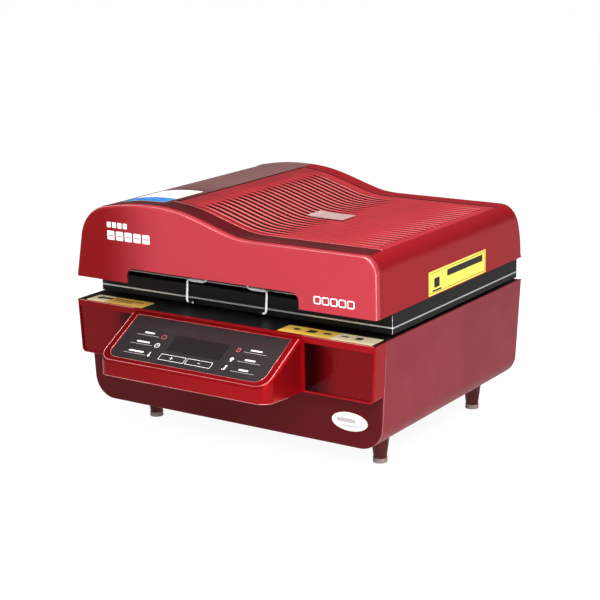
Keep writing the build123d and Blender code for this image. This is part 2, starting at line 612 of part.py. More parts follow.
def mains_inlet():
    """A three-pin appliance inlet in the rear wall."""
    inlet = service_block(INLET_X, 25, 12, 0, 2) + service_block(INLET_X, 13.5, 9.7, -24, 2)
    inlet = inlet - service_block(INLET_X, 12, 8, -14, 3)
    for dx, dz in ((-7, -1.5), (0, 2), (7, -1.5)):
        inlet = inlet + Pos(0, 0, dz) * service_block(INLET_X + dx, 1, 2.5, -15, -2)
    return inlet


def switch_body():
    """The frame of the mains switch, with the bearings of its rocker."""
    body = service_block(SWITCH_X, 9.5, 13, 0, 1.5) + service_block(SWITCH_X, 6.7, 9.7, -20, 1.5)
    body = body - service_block(SWITCH_X, 5.5, 8.5, -7, 2)
    return body - rod_x(SWITCH_X - AXLE_L / 2 - 0.2, SWITCH_X + AXLE_L / 2 + 0.2, BODY_REAR_Y - AXLE_SET,
                        SERVICE_Z, AXLE_R + RUNNING)


def switch_rocker():
    """The rocker in its off position, on two stub axles."""
    face = polygon((-7, 0), (-7, 2.4), (0, 1.4), (7, 2.4), (7, 0), (0, -4))
    paddle = extrude(Plane.YZ * Rot(0, 0, -90) * face, 5, both=True)
    axle = rod_x(-AXLE_L / 2, AXLE_L / 2, 0, 0, AXLE_R)
    return Pos(SWITCH_X, BODY_REAR_Y - AXLE_SET, SERVICE_Z) * Rot(-ROCKER_TILT, 0, 0) * (paddle + axle)


def fuse_holder():
    """A panel fuse holder with a slotted cap."""
    y = BODY_REAR_Y
    holder = rod_y(y - 26, y, FUSE_X, SERVICE_Z, FUSE_R) + rod_y(y, y + 3, FUSE_X, SERVICE_Z, FUSE_R * 1.5)
    return holder - service_block(FUSE_X, 5, 0.7, 2, 4)


FAN_FRONT_Y = BODY_REAR_Y - SKIN


def fan_frame():
    """The square frame of the cooling fan, with its bearing boss on four struts."""
    half, back = FAN_SIZE / 2, FAN_FRONT_Y - FAN_DEPTH
    body = block(FAN_X - half, FAN_X + half, back, FAN_FRONT_Y, FAN_Z - half, FAN_Z + half)
    body = body - rod_y(back - 1, FAN_FRONT_Y + 1, FAN_X, FAN_Z, half - 2)
    boss = rod_y(back, back + 4, FAN_X, FAN_Z, FAN_HUB_R) + rod_y(back, back + 16, FAN_X, FAN_Z, 5)
    for angle in (45, 135):
        boss = boss + Pos(FAN_X, back + 2, FAN_Z) * Rot(0, angle, 0) * Box(FAN_SIZE - 3, 4, 4)
    return body + boss - rod_y(back + 3, back + 17, FAN_X, FAN_Z, FAN_SHAFT_R + RUNNING)


def fan_rotor():
    """A cup hub with pitched blades."""
    y0, y1 = FAN_FRONT_Y - FAN_DEPTH + 5, FAN_FRONT_Y - 2
    hub = rod_y(y0, y1, FAN_X, FAN_Z, FAN_HUB_R) - rod_y(y0 - 1, y1 - 2, FAN_X, FAN_Z, FAN_HUB_R - 2)
    rotor = hub + rod_y(y0 - 1, y1 - 1, FAN_X, FAN_Z, FAN_SHAFT_R)
    root = FAN_HUB_R - 1
    span = FAN_SIZE / 2 - 4 - root
    for k in range(FAN_BLADES):
        blade = Pos(root + span / 2, 0, 0) * Rot(40, 0, 0) * Box(span, 1.6, 17)
        rotor = rotor + Pos(FAN_X, (y0 + y1) / 2, FAN_Z) * Rot(0, k * 360 / FAN_BLADES, 0) * blade
    return rotor


def fan_guard():
    """The wire guard on the outside of the rear wall."""
    y = BODY_REAR_Y + GUARD_R
    guard = Pos(FAN_X, y, FAN_Z) * Rot(90, 0, 0) * Torus(12, GUARD_R)
    for r in (20, 28, 36):
        guard = guard + Pos(FAN_X, y, FAN_Z) * Rot(90, 0, 0) * Torus(r, GUARD_R)
    bar = Rot(0, 90, 0) * Cylinder(GUARD_R, FAN_SIZE + 12)
    for angle in (45, 135):
        guard = guard + Pos(FAN_X, y, FAN_Z) * Rot(0, angle, 0) * bar
    return guard


# ---------------------------------------------------------------- feet and screws
def foot_places():
    x = BODY_W / 2 - FOOT_INSET
    return [(side * x, y) for side in (-1, 1) for y in (FOOT_FRONT_Y, FOOT_REAR_Y)]


def feet():
    height = BASE_BOTTOM_Z - PAD_H
    return [Pos(x, y, PAD_H + height / 2) * Cone(FOOT_TIP_R, FOOT_TOP_R, height) for x, y in foot_places()]


def foot_pads():
    return [rod_z(0, PAD_H, x, y, PAD_R) for x, y in foot_places()]


def case_screws():
    """Pan-head screws of the rear wall."""
    y = BODY_REAR_Y
    return [rod_y(y, y + SCREW_HEAD_H, x, z, SCREW_HEAD_R) + rod_y(y - 8, y, x, z, SCREW_R)
            for x, z in case_screw_places()]


def case_screw_places():
    x = BODY_W / 2 - SCREW_INSET
    return [(k * x, z) for k in (-1, 0, 1) for z in (BASE_BOTTOM_Z + SCREW_LOW, BASE_TOP_Z - SCREW_DROP)]


# ---------------------------------------------------------------- hinges
def knuckle(x0, x1):
    eye = rod_x(x0, x1, HINGE_Y, HINGE_Z, KNUCKLE_R)
    return eye - rod_x(x0 - 1, x1 + 1, HINGE_Y, HINGE_Z, PIN_R + RUNNING)


def hinge_spans(side):
    """The stretches of one pin that carry the frame, the base and the lid."""
    x = side * HINGE_X
    half = KNUCKLE_L / 2
    gap = KNUCKLE_L + FIT
    return [(x + k * gap - half, x + k * gap + half) for k in (-1, 0, 1)]


def base_hinge_brackets():
    brackets = []
    for side in (-1, 1):
        x0, x1 = hinge_spans(side)[1]
        arm = block(x0, x1, HINGE_Y - KNUCKLE_R, BODY_REAR_Y - SKIN, BRACKET_LOW_Z, HINGE_Z)
        arm = arm - rod_x(x0 - 1, x1 + 1, HINGE_Y, HINGE_Z, PIN_R + RUNNING)
        brackets.append(arm + knuckle(x0, x1))
    return brackets


def hinge_pins():
    pins = []
    for side in (-1, 1):
        spans = hinge_spans(side)
        x0, x1 = spans[0][0] - FIT, spans[2][1] + FIT
        pin = rod_x(x0, x1, HINGE_Y, HINGE_Z, PIN_R) + rod_x(x0 - 2, x0, HINGE_Y, HINGE_Z, 5)
        pins.append(pin + rod_x(x1, x1 + 2, HINGE_Y, HINGE_Z, 5))
    return pins


def frame_hinge_leaves():
    """Leaves under the frame's rear rail, outboard of the base's knuckles."""
    leaves = []
    for side, k in ((-1, 0), (1, 2)):
        x0, x1 = hinge_spans(side)[k]
        leaf = block(x0, x1, FRAME_NOTCH_Y, HINGE_Y, HINGE_Z - KNUCKLE_R, HINGE_Z)
        leaf = leaf - rod_x(x0 - 1, x1 + 1, HINGE_Y, HINGE_Z, PIN_R + RUNNING)
        leaves.append(leaf + knuckle(x0, x1))
    return leaves


def hinge_notches(low, high):
    """Cuts in the frame's rear rail that clear the hinges."""
    cuts = []
    for side in (-1, 1):
        spans = hinge_spans(side)
        x0, x1 = spans[0][0] - NOTCH_SIDE, spans[2][1] + NOTCH_SIDE
        cuts.append(block(x0, x1, FRAME_NOTCH_Y, FRAME_REAR_Y + 1, low, high))
    return cuts


def lid_hinge_arms():
    """Arms that hang from the lid's rear wall, inboard of the base's knuckles."""
    wall = lid_block(0) - lid_block(SKIN, LID_BOTTOM_Z - SKIN)
    arms = []
    for side, k in ((-1, 2), (1, 0)):
        x0, x1 = hinge_spans(side)[k]
        arm = block(x0, x1, HINGE_Y - KNUCKLE_R, ARM_REAR_Y, HINGE_Z, LID_BOTTOM_Z + ARM_RISE)
        arm = arm - rod_x(x0 - 1, x1 + 1, HINGE_Y, HINGE_Z, PIN_R + RUNNING)
        arm = arm - block(x0 - 1, x1 + 1, HINGE_Y, LID_REAR_Y, HINGE_Z - 1, LID_BOTTOM_Z)
        arms.append(arm + knuckle(x0, x1) - wall)
    return arms


# ---------------------------------------------------------------- membrane frame
TRIM_Z = LOWER_RAIL_Z + LOWER_RAIL_H
MEMBRANE_Z = TRIM_Z + TRIM_H
UPPER_RAIL_Z = MEMBRANE_Z + MEMBRANE_T
FRAME_X = FRAME_W / 2


def frame_lower_rail():
    rail = along_z(ring(-FRAME_X, FRAME_X, FRAME_FRONT_Y, FRAME_REAR_Y, FRAME_BAR, FRAME_R),
                   LOWER_RAIL_Z, TRIM_Z) - hinge_notches(LOWER_RAIL_Z - 1, TRIM_Z + 1)
    for x0, x1 in lug_spans():
        lug = block(x0, x1, BAIL_Y, FRAME_FRONT_Y, BAIL_PIVOT_Z - LUG_R, BAIL_PIVOT_Z + LUG_R)
        lug = lug + rod_x(x0, x1, BAIL_Y, BAIL_PIVOT_Z, LUG_R)
        rail = rail + lug - rod_x(x0 - 1, x1 + 1, BAIL_Y, BAIL_PIVOT_Z, BAIL_R + RUNNING)
    return rail


def lug_spans():
    """Where the bail's feet turn in the lower rail's lugs."""
    start, end = BAIL_BEND_R + 1.5, BAIL_FOOT - 1
    return [(BAIL_LEFT_X + start, BAIL_LEFT_X + end), (BAIL_RIGHT_X - end, BAIL_RIGHT_X - start)]


def frame_edge_trim():
    """A bright strip that shows as a line round the frame."""
    lip = TRIM_LIP
    trim = along_z(ring(-FRAME_X - lip, FRAME_X + lip, FRAME_FRONT_Y - lip, FRAME_REAR_Y, FRAME_BAR + lip,
                        FRAME_R + lip), TRIM_Z, MEMBRANE_Z)
    return trim - hinge_notches(TRIM_Z - 1, MEMBRANE_Z + 1)


def silicone_membrane():
    """The silicone sheet clamped between the rails."""
    inset = MEMBRANE_INSET
    sheet = along_z(rounded(-FRAME_X + inset, FRAME_X - inset, FRAME_FRONT_Y + inset, FRAME_REAR_Y - inset,
                            FRAME_R), MEMBRANE_Z, UPPER_RAIL_Z)
    return sheet - hinge_notches(MEMBRANE_Z - 1, UPPER_RAIL_Z + 1)


def frame_upper_rail():
    """A U-section rail, open to the inside of the frame."""
    face = ring(-FRAME_X, FRAME_X, FRAME_FRONT_Y, FRAME_REAR_Y, FRAME_BAR, FRAME_R)
    rail = along_z(face, UPPER_RAIL_Z, UPPER_RAIL_Z + UPPER_RAIL_H)
    rail = rail - hinge_notches(UPPER_RAIL_Z - 1, UPPER_RAIL_Z + UPPER_RAIL_H + 1)
    side, skin = RAIL_WALL, RAIL_WALL / 3
    inner = ring(-FRAME_X + side, FRAME_X - side, FRAME_FRONT_Y + side, FRAME_REAR_Y - side,
                 FRAME_BAR, FRAME_R)
    rail = rail - along_z(inner, UPPER_RAIL_Z + skin, UPPER_RAIL_Z + UPPER_RAIL_H - skin)
    top = rail.faces().sort_by(Axis.Z)[-1].outer_wire()
    edges = [e for e in top.edges() if e.center().Y < FRAME_NOTCH_Y - 1]
    return fillet(edges, RAIL_TOP_R)


def frame_screws():
    """Cap screws along the upper rail, on its inner ledge."""
    z = UPPER_RAIL_Z + UPPER_RAIL_H
    screws = []
    for k in range(FRAME_SCREWS):
        x = (k - (FRAME_SCREWS - 1) / 2) * (FRAME_W - 82) / (FRAME_SCREWS - 1)
        for y in (FRAME_FRONT_Y + FRAME_BAR / 2, FRAME_REAR_Y - FRAME_BAR / 2):
            screws.append(rod_z(z, z + 1.2, x, y, SCREW_HEAD_R))
    return screws


def bail_point(x, z):
    """A point of the bail's plane, which leans back to the frame."""
    return (x, BAIL_Y + (z - BAIL_PIVOT_Z) * tan(radians(BAIL_LEAN)), z)


def bail_handle():
    """The wire handle of the frame: two feet, two legs, two shelves and a raised grip."""
    low, shelf, grip = BAIL_PIVOT_Z, BAIL_SHELF_Z, BAIL_GRIP_Z
    left, right, step = BAIL_LEFT_X, BAIL_RIGHT_X, BAIL_GRIP_INSET
    corners = [(left + BAIL_FOOT, low), (left, low), (left, shelf), (left + step, shelf),
               (left + step, grip), (right - step, grip), (right - step, shelf), (right, shelf),
               (right, low), (right - BAIL_FOOT, low)]
    return tube([bail_point(x, z) for x, z in corners], BAIL_BEND_R, BAIL_R)


def bail_sleeves():
    """Pressed sleeves on the bail's shelves."""
    start = BAIL_BEND_R + 2
    _, y, z = bail_point(0, BAIL_SHELF_Z)
    spans = [(BAIL_LEFT_X + start, BAIL_LEFT_X + start + SLEEVE_L),
             (BAIL_RIGHT_X - start - SLEEVE_L, BAIL_RIGHT_X - start)]
    return [rod_x(x0, x1, y, z, SLEEVE_R) - rod_x(x0 - 1, x1 + 1, y, z, BAIL_R) for x0, x1 in spans]


# ---------------------------------------------------------------- lid


def lid_outline(inset, bottom_z=LID_BOTTOM_Z):
    """Front view of the lid: leaning left side, high crest, S-curve and flat right part."""
    rise = Vector(LID_LEAN, SHOULDER_Z - LID_BOTTOM_Z).normalized()
    shoulder = (inset * rise.Y - LID_W / 2 + LID_LEAN, SHOULDER_Z - inset * rise.X)
    low_x = shoulder[0] - (shoulder[1] - bottom_z) * rise.X / rise.Y
    left = Line((low_x, bottom_z), shoulder)
    bend = JernArc(shoulder, rise, SHOULDER_R - inset, -SHOULDER_TURN)
    top_z, corner = PLATEAU_Z - inset, LID_CORNER_R - inset
    middle = [(x, z - inset) for x, z in LID_CREST]
    wave = Spline(bend @ 1, *middle, (PLATEAU_X, top_z), tangents=(bend % 1, (1, 0)))
    half = LID_W / 2 - inset
    top = Line(wave @ 1, (half - corner, top_z))
    arc = RadiusArc(top @ 1, (half - LID_DRAFT, top_z - corner), corner)
    right = Line(arc @ 1, (half, bottom_z))
    return make_face([left, bend, wave, top, arc, right, Line(right @ 1, left @ 0)])


def lid_block(inset, bottom_z=LID_BOTTOM_Z):
    """The lid's outside as a solid; its rear end is the same view, squashed section by section."""
    view = lid_outline(inset, bottom_z)
    depth = REAR_DEPTH - inset
    rear_start = LID_REAR_Y - REAR_DEPTH - REAR_LEAN
    straight = along_y(view, LID_FRONT_Y + FASCIA_DEPTH - inset, rear_start)
    sections = []
    for k in range(REAR_SECTIONS):
        angle = pi / 2 * k / (REAR_SECTIONS - 1) * REAR_REACH
        y = LID_REAR_Y - REAR_DEPTH + depth * sin(angle) ** (2 / REAR_POWER_Y)
        height = cos(angle) ** (2 / REAR_POWER_Z)
        face = scale(view, by=(1, height, 1))
        sections.append(Pos(0, y - REAR_LEAN * height, LID_BOTTOM_Z * (1 - height)) * (Plane.XZ * face))
    return straight + loft(sections)


def lid_shell():
    """The painted lid behind its fascia, with the pocket for the ribbed insert."""
    shell = lid_block(0) - lid_block(SKIN, LID_BOTTOM_Z - SKIN)
    pocket = top_band(PANEL_X0 - PANEL_GROOVE, PANEL_X1 + PANEL_GROOVE, PANEL_Y0 - PANEL_GROOVE,
                      PANEL_Y1 + PANEL_GROOVE, -PANEL_T, 20)
    return shell - pocket


def top_band(x0, x1, y0, y1, low, high):
    """A layer over the lid's top, between two heights from its outline."""
    upper = Pos(0, high) * lid_outline(0)
    lower = Pos(0, low) * lid_outline(0, LID_BOTTOM_Z - 30)
    band = along_y(upper - lower, y0, y1)
    return band & block(x0, x1, y0, y1, LID_BOTTOM_Z + 60, CREST_Z + 40)


def ribbed_panel():
    """The insert of the lid's top with its cross ribs."""
    panel = top_band(PANEL_X0, PANEL_X1, PANEL_Y0, PANEL_Y1, -PANEL_T, 0)
    for k in range(RIB_COUNT):
        y = RIB_FIRST_Y + k * RIB_PITCH
        panel = panel + top_band(RIB_X0, RIB_X1, y - RIB_W / 2, y + RIB_W / 2, -PANEL_T / 2, RIB_H)
    return panel


def lid_fascia():
    """The lid's front moulding with the finger notch over the bail."""
    front, back = LID_FRONT_Y, LID_FRONT_Y + FASCIA_DEPTH
    body = along_y(lid_outline(0), front, back)
    outline = [e for e in body.faces().sort_by(Axis.Y)[0].edges() if e.center().Z > LID_BOTTOM_Z + 1]
    body = fillet(outline, FASCIA_EDGE_R)
    hollow = along_y(lid_outline(SKIN, LID_BOTTOM_Z - 1), front + SKIN, back + 1)
    notch = rounded(NOTCH_X0, NOTCH_X1, LID_BOTTOM_Z - 60, NOTCH_TOP_Z, NOTCH_R)
    return body - hollow - along_y(notch, front - 1, back + 1)


OVEN_HEATER_Z = CHAMBER_TOP_Z - 34
OVEN_HEATER_Y = (CHAMBER_Y0 + 50, CHAMBER_Y1 - 50)


def oven_chamber():
    """The bright oven box, open below, with the flange that closes the lid round it."""
    half = CHAMBER_W / 2
    box = block(-half, half, CHAMBER_Y0, CHAMBER_Y1, CHAMBER_RIM_Z, CHAMBER_TOP_Z)
    box = box - block(-half + SHEET, half - SHEET, CHAMBER_Y0 + SHEET, CHAMBER_Y1 - SHEET,
                      CHAMBER_RIM_Z - 1, CHAMBER_TOP_Z - SHEET)
    reach = LID_W / 2 - SKIN - FIT
    lean = LID_LEAN * (CHAMBER_RIM_Z + SHEET - LID_BOTTOM_Z) / (SHOULDER_Z - LID_BOTTOM_Z)
    flange = block(-reach + lean, reach - FIT, CHAMBER_Y0 - FLANGE_REACH, CHAMBER_Y1 + FLANGE_REACH,
                   CHAMBER_RIM_Z, CHAMBER_RIM_Z + SHEET)
    flange = flange - block(-half, half, CHAMBER_Y0, CHAMBER_Y1, CHAMBER_RIM_Z - 1, CHAMBER_RIM_Z + 5)
    shaft_hole = rod_z(CHAMBER_TOP_Z - 5, CHAMBER_TOP_Z + 1, IMPELLER_X, IMPELLER_Y, SHAFT_R + 4)
    chamber = box + flange - shaft_hole
    for y in OVEN_HEATER_Y:
        for dy in (-HAIRPIN / 2, HAIRPIN / 2):
            chamber = chamber - rod_x(-half - 1, -half + 4, y + dy, OVEN_HEATER_Z, HEATER_R + RUNNING)
    return chamber - rod_x(half - 4, half + 1, TRAY_Y, CHAMBER_TOP_Z - PROBE_DROP, PROBE_R)


def front_baffle():
    """The black sheet behind the notch."""
    y = CHAMBER_Y0 - FLANGE_REACH
    half = LID_W / 2 - BAFFLE_INSET
    return block(-half, half, y, y + SHEET, CHAMBER_RIM_Z + SHEET, PLATEAU_Z - SKIN - PANEL_T)


def lid_insulation():
    half = CHAMBER_W / 2
    blanket = block(-half, half, CHAMBER_Y0, CHAMBER_Y1, CHAMBER_TOP_Z, CHAMBER_TOP_Z + BLANKET_T)
    return blanket - rod_z(CHAMBER_TOP_Z - 1, CHAMBER_TOP_Z + 30, IMPELLER_X, IMPELLER_Y, MOTOR_R + 2)


def oven_heaters():
    """Two hairpin elements, front and rear of the impeller, let into the left wall."""
    z = OVEN_HEATER_Z
    start, end = -CHAMBER_W / 2 - 8, CHAMBER_W / 2 - 30
    loops = []
    for y in OVEN_HEATER_Y:
        y0, y1 = y - HAIRPIN / 2, y + HAIRPIN / 2
        loops.append(tube([(start, y0, z), (end, y0, z), (end, y1, z), (start, y1, z)],
                          HAIRPIN / 2 - 1, HEATER_R))
    return loops


def circulation_motor():
    """The fan motor in the crest, on the chamber's top."""
    z0, z1 = CHAMBER_TOP_Z, CHAMBER_TOP_Z + MOTOR_H
    plate = block(IMPELLER_X - 30, IMPELLER_X + 30, IMPELLER_Y - 12, IMPELLER_Y + 12, z0, z0 + 3)
    body = rod_z(z0 + 3, z1, IMPELLER_X, IMPELLER_Y, MOTOR_R)
    cap = rod_z(z1, z1 + 6, IMPELLER_X, IMPELLER_Y, 12)
    return plate + body + cap - rod_z(z0 - 1, z0 + 34, IMPELLER_X, IMPELLER_Y, SHAFT_R + RUNNING)


def impeller_shaft():
    return rod_z(CHAMBER_TOP_Z - 26, CHAMBER_TOP_Z + 33, IMPELLER_X, IMPELLER_Y, SHAFT_R)


def circulation_impeller():
    """A back plate with radial blades under the chamber's top."""
    z1 = CHAMBER_TOP_Z - SHEET - 4
    rotor = rod_z(z1 - 1.5, z1, 0, 0, IMPELLER_R) + rod_z(z1 - 20, z1, 0, 0, 9)
    for k in range(12):
        blade = Pos(IMPELLER_R - 18, 0, z1 - 9) * Rot(0, 0, 25) * Box(30, 1.5, 16)
        rotor = rotor + Rot(0, 0, k * 30) * blade
    rotor = rotor - rod_z(z1 - 30, z1 + 1, 0, 0, SHAFT_R)
    return Pos(IMPELLER_X, IMPELLER_Y, 0) * rotor


def lid_thermocouple():
    """The air probe through the chamber's right wall."""
    half = CHAMBER_W / 2
    z = CHAMBER_TOP_Z - PROBE_DROP
    return rod_x(half - 50, half + 12, TRAY_Y, z, PROBE_R) + rod_x(half, half + 8, TRAY_Y, z, 3 * PROBE_R)


def badge_plate():
    """A small blank plate on the ribs."""
    return top_band(*BADGE_X, *BADGE_Y, RIB_H, RIB_H + BADGE_T)


def base_labels():
    """Blank labels: two on the deck's front ledge and an oval on the lower front panel."""
    y0, y1 = HOUSING_FRONT_Y + SKIN + 1, FRAME_FRONT_Y - 19
    ledge = [block(x0, x1, y0, y1, BASE_TOP_Z, BASE_TOP_Z + LABEL_T) for x0, x1 in LEDGE_LABELS_X]
    front = SEAM_Y - SKIN
    oval = along_y(Pos(OVAL_X, OVAL_Z) * Ellipse(OVAL_W / 2, OVAL_H / 2), front - LABEL_T, front)
    return ledge + [oval]


def lid_labels():
    """Blank labels: one on the lid's right side and one over the left of the crest."""
    (y0, y1), (z0, z1) = SIDE_LABEL_Y, SIDE_LABEL_Z
    skin = along_y(Pos(LABEL_T, 0) * lid_outline(0) - lid_outline(0), y0, y1)
    right = skin & block(LID_W / 2 - 5, LID_W / 2 + 5, y0, y1, z0, z1)
    return [right, top_band(*CREST_LABEL_X, *CREST_LABEL_Y, LABEL_GAP, LABEL_GAP + LABEL_T)]


def main():
    left, right, rear, bottom = base_panels()
    save("left_side_panel", left)
    save("right_side_panel", right)
    save("rear_panel", rear)
    save("bottom_plate", bottom)
    save("lower_front_panel", lower_front_panel())
    save("control_housing", control_housing())
    save("housing_windows", *housing_windows())
    save("console_bezel", console_bezel())
    save("control_overlay", control_overlay())
    save("display_window", display_window())
    save("control_board", control_board())
    save("top_deck", top_deck())
    save("vacuum_tray", vacuum_tray())
    save("tray_gasket", tray_gasket())
    save("perforated_platen", perforated_platen())
    save("tray_heater", tray_heater())
    save("heater_clamps", *heater_clamps())
    save("base_insulation", base_insulation())
    save("heat_shield", heat_shield())
    save("tray_port", tray_port())
    save("vacuum_pump", vacuum_pump())
    save("pump_mounts", *pump_mounts())
    save("release_valve", release_valve())
    save("vacuum_hose", vacuum_hose())
    save("power_board", power_board())
    save("mains_inlet", mains_inlet())
    save("switch_body", switch_body())
    save("switch_rocker", switch_rocker())
    save("fuse_holder", fuse_holder())
    save("fan_frame", fan_frame())
    save("fan_rotor", fan_rotor())
    save("fan_guard", fan_guard())
    save("feet", *feet())
    save("foot_pads", *foot_pads())
    save("case_screws", *case_screws())
    save("base_hinge_brackets", *base_hinge_brackets())
    save("hinge_pins", *hinge_pins())
    save("frame_hinge_leaves", *frame_hinge_leaves())
    save("frame_lower_rail", frame_lower_rail())
    save("frame_edge_trim", frame_edge_trim())
    save("silicone_membrane", silicone_membrane())
    save("frame_upper_rail", frame_upper_rail())
    save("frame_screws", *frame_screws())
    save("bail_handle", bail_handle())
    save("bail_sleeves", *bail_sleeves())
    save("lid_shell", lid_shell())
    save("lid_fascia", lid_fascia())
    save("ribbed_panel", ribbed_panel())
    save("oven_chamber", oven_chamber())
    save("front_baffle", front_baffle())
    save("lid_insulation", lid_insulation())
    save("oven_heaters", *oven_heaters())
    save("circulation_motor", circulation_motor())
    save("impeller_shaft", impeller_shaft())
    save("circulation_impeller", circulation_impeller())
    save("lid_thermocouple", lid_thermocouple())
    save("lid_hinge_arms", *lid_hinge_arms())
    save("badge_plate", badge_plate())
    save("base_labels", *base_labels())
    save("lid_labels", *lid_labels())


main()
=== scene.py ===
"""Looks of the vacuum sublimation press: finishes, prints and fine pieces round the fixed frame.

Millimetres in the named values, metres in Blender.
"""
import bpy
from math import cos, hypot, pi, radians, sin
from mathutils import Matrix, Vector
from mathutils.bvhtree import BVHTree


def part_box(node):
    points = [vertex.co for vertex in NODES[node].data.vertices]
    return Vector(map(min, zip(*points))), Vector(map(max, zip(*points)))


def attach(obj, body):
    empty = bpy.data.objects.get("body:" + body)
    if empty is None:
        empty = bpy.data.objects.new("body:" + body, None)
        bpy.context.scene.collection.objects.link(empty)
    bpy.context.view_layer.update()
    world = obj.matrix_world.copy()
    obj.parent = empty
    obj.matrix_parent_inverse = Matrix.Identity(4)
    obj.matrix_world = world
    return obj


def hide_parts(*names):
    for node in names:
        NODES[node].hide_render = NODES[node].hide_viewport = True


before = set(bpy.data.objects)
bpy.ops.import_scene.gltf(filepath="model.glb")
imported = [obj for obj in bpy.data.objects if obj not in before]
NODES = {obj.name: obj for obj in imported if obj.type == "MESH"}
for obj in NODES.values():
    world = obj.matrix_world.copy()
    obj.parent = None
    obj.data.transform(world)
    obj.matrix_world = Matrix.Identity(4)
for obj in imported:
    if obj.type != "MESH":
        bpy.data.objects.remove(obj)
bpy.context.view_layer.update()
MM = 0.001

# ---------------------------------------------------------------- camera
AZIMUTH, ELEVATION, ROLL = 33.56, 14.45, -0.9
DISTANCE = 2836.6
TARGET = (-26.8, 82.0, 205.8)
LENS, SENSOR = 94.8, 36.0
CAMERA_REACH = 50                # metres that the camera sees

# ---------------------------------------------------------------- light
FLOOR_HALF = 8.0                 # metres from the middle to the floor's edge
FLOOR_GLOW, FLOOR_SHARE = 1.24, 0.75     # strength of the floor's white for the camera, and its share
FLOOR_IN_GLOSS = 0.60            # how bright the floor is in reflections
WORLD_FILL, WORLD_IN_GLOSS = 0.34, 0.10  # the world's strength on matt faces and in reflections
LAMPS = [  # name, place in metres, aim, width, height, watts
    ("key_softbox", (1.3, -1.9, 1.7), (0.05, -0.1, 0.25), 1.3, 1.1, 60),
    ("top_softbox", (0.35, -0.1, 2.1), (0.05, 0, 0.3), 1.4, 1.2, 54),
    ("low_right_card", (1.30, -0.90, 0.20), (0.25, -0.2, 0.25), 0.22, 0.36, 6.0),
    ("left_fill", (-1.9, -1.6, 1.0), (0, 0, 0.25), 1.0, 1.0, 8),
]

# ---------------------------------------------------------------- sizes, in millimetres
PRINT_T = 0.12                   # thickness of screen print and of foil
LABEL_T = 0.25                   # thickness of a label
FASCIA_Y, LOWER_FRONT_Y = -202.0, -175.0     # front faces of the fascia and of the lower front panel
LEDGE_Z = 237.0 + LABEL_T        # top of the labels on the ledge

# console
SLOPE_TOP = (-203.5, 231.0)      # y, z where the console's slope starts
SLOPE_NOSE = (-306.0, 172.0)     # y, z where it ends
SLOPE_L = hypot(SLOPE_TOP[0] - SLOPE_NOSE[0], SLOPE_TOP[1] - SLOPE_NOSE[1])
OVERLAY_H, BEZEL_H = 2.0, 3.0    # surfaces of the overlay and of the bezel over the slope
CONSOLE_X = -4.5                 # middle of the console
NOSE_W, NOSE_R = 339.0, 22.0     # the console's nose: its width and upright corners
NOSE_Y, NOSE_Z = -306.0, 148.0   # its lower front edge
HOUSING_BOTTOM_Z = 142.5
NOSE_FALL = (NOSE_Z - HOUSING_BOTTOM_Z) / (SLOPE_TOP[0] - NOSE_Y)   # slope of the nose's underside
NOSE_EDGE_L = 60.0               # how far its painted highlight line runs back along each side
WORD_H, RULE_H = 3.0, 0.7        # heights of a word's bar and of an underline
WORDS = ((-111, ((43.3, 20), (64.5, 26), (86.5, 30))),       # x, then place down the slope and length
         (104.5, ((43.3, 22), (65, 20), (87, 18))))
RULES = (((-134, -89), (49.3, 70, 92)), ((82, 127), (49, 70, 92)))  # x span, then places down the slope
KEYS_X, KEYS_DOWN = ((-60.7, -10), (-6.7, 43.3)), (82.7, 95.7)
KEY_LINE = 0.7
SIGN_X, SIGN_DOWN, SIGN_LINE = (-37, 18), 89.2, 0.8          # plus and minus in the keys

# lid
CREST_EDGE_X = -122.0            # where the crest's painted shade ends and the insert starts
CREST_TOP_Z, CREST_FOOT_Z = 404, 366     # the painted shade on the crest's top fades into red between these heights
RIB_COUNT, RIB_PITCH, RIB_FIRST_Y = 24, 15.0, -131.0
RIB_RISE, RIB_DROP = 1.3, 1.7    # ridge over the panel, and groove under it
RIB_BIAS = 0.22                  # how much wider the grooves are than the ridges
GROOVE_ROUND = 0.8               # under 1 the grooves are rounder than a wave
RIBS_START, RIBS_END = (-92, -52), (262, 271)    # x spans where the ribs rise and fade
FLAT_START, FLAT_END = (40, 105), (195, 245)     # x spans where they get shallow and deep again
FLAT_LOSS = 0.72                 # share of their depth that they lose between those
PLAIN_TONE = 0.6                 # place of the plain lacquer on its ramp of colours
RIDGE_SPREAD = 0.7               # under 1 the painted highlight on the ridges is wider
LEFT_MARGIN, LEFT_DARK = (-105, -45), 0.05       # x span of the darker left margin, and how dark
FRONT_MARGIN, FRONT_DARK = (0, 80), 0.04         # x span where the darker front margin ends
RIGHT_END, RIGHT_PALE = (150, 215), 0.7          # x span where the painted shade in the grooves turns paler, and how pale
INSERT_COLUMNS, INSERT_ROWS = 110, 320
INSERT_RIM_DROP, INSERT_SKIRT = 0.8, 1.3         # the insert's rim lies lower, and its sides go down
SKIRT_TONE = 0.3
EDGE_INSET = 0.4                 # heights are read this far inside a piece's edge
COVE_PROFILE = [(0.0, -0.1), (0.6, 0.35), (2.0, 0.5), (4.0, 0.25), (20.0, 0.25), (36.0, 0.25), (37.5, 0.5),
                (39.0, 0.3), (39.4, -0.1)]       # distance in front of the insert, height over the shell
COVE_STEPS, COVE_REACH = 90, 38.0
FASCIA_HEART_Z = 285.0           # the fascia's outline is followed round this height
OUTLINE_FROM, OUTLINE_TURN, OUTLINE_STEPS = -1.0, 160.0, 240     # degrees
OUTLINE_INSET = 1.4              # the painted highlight line lies this far inside the outline
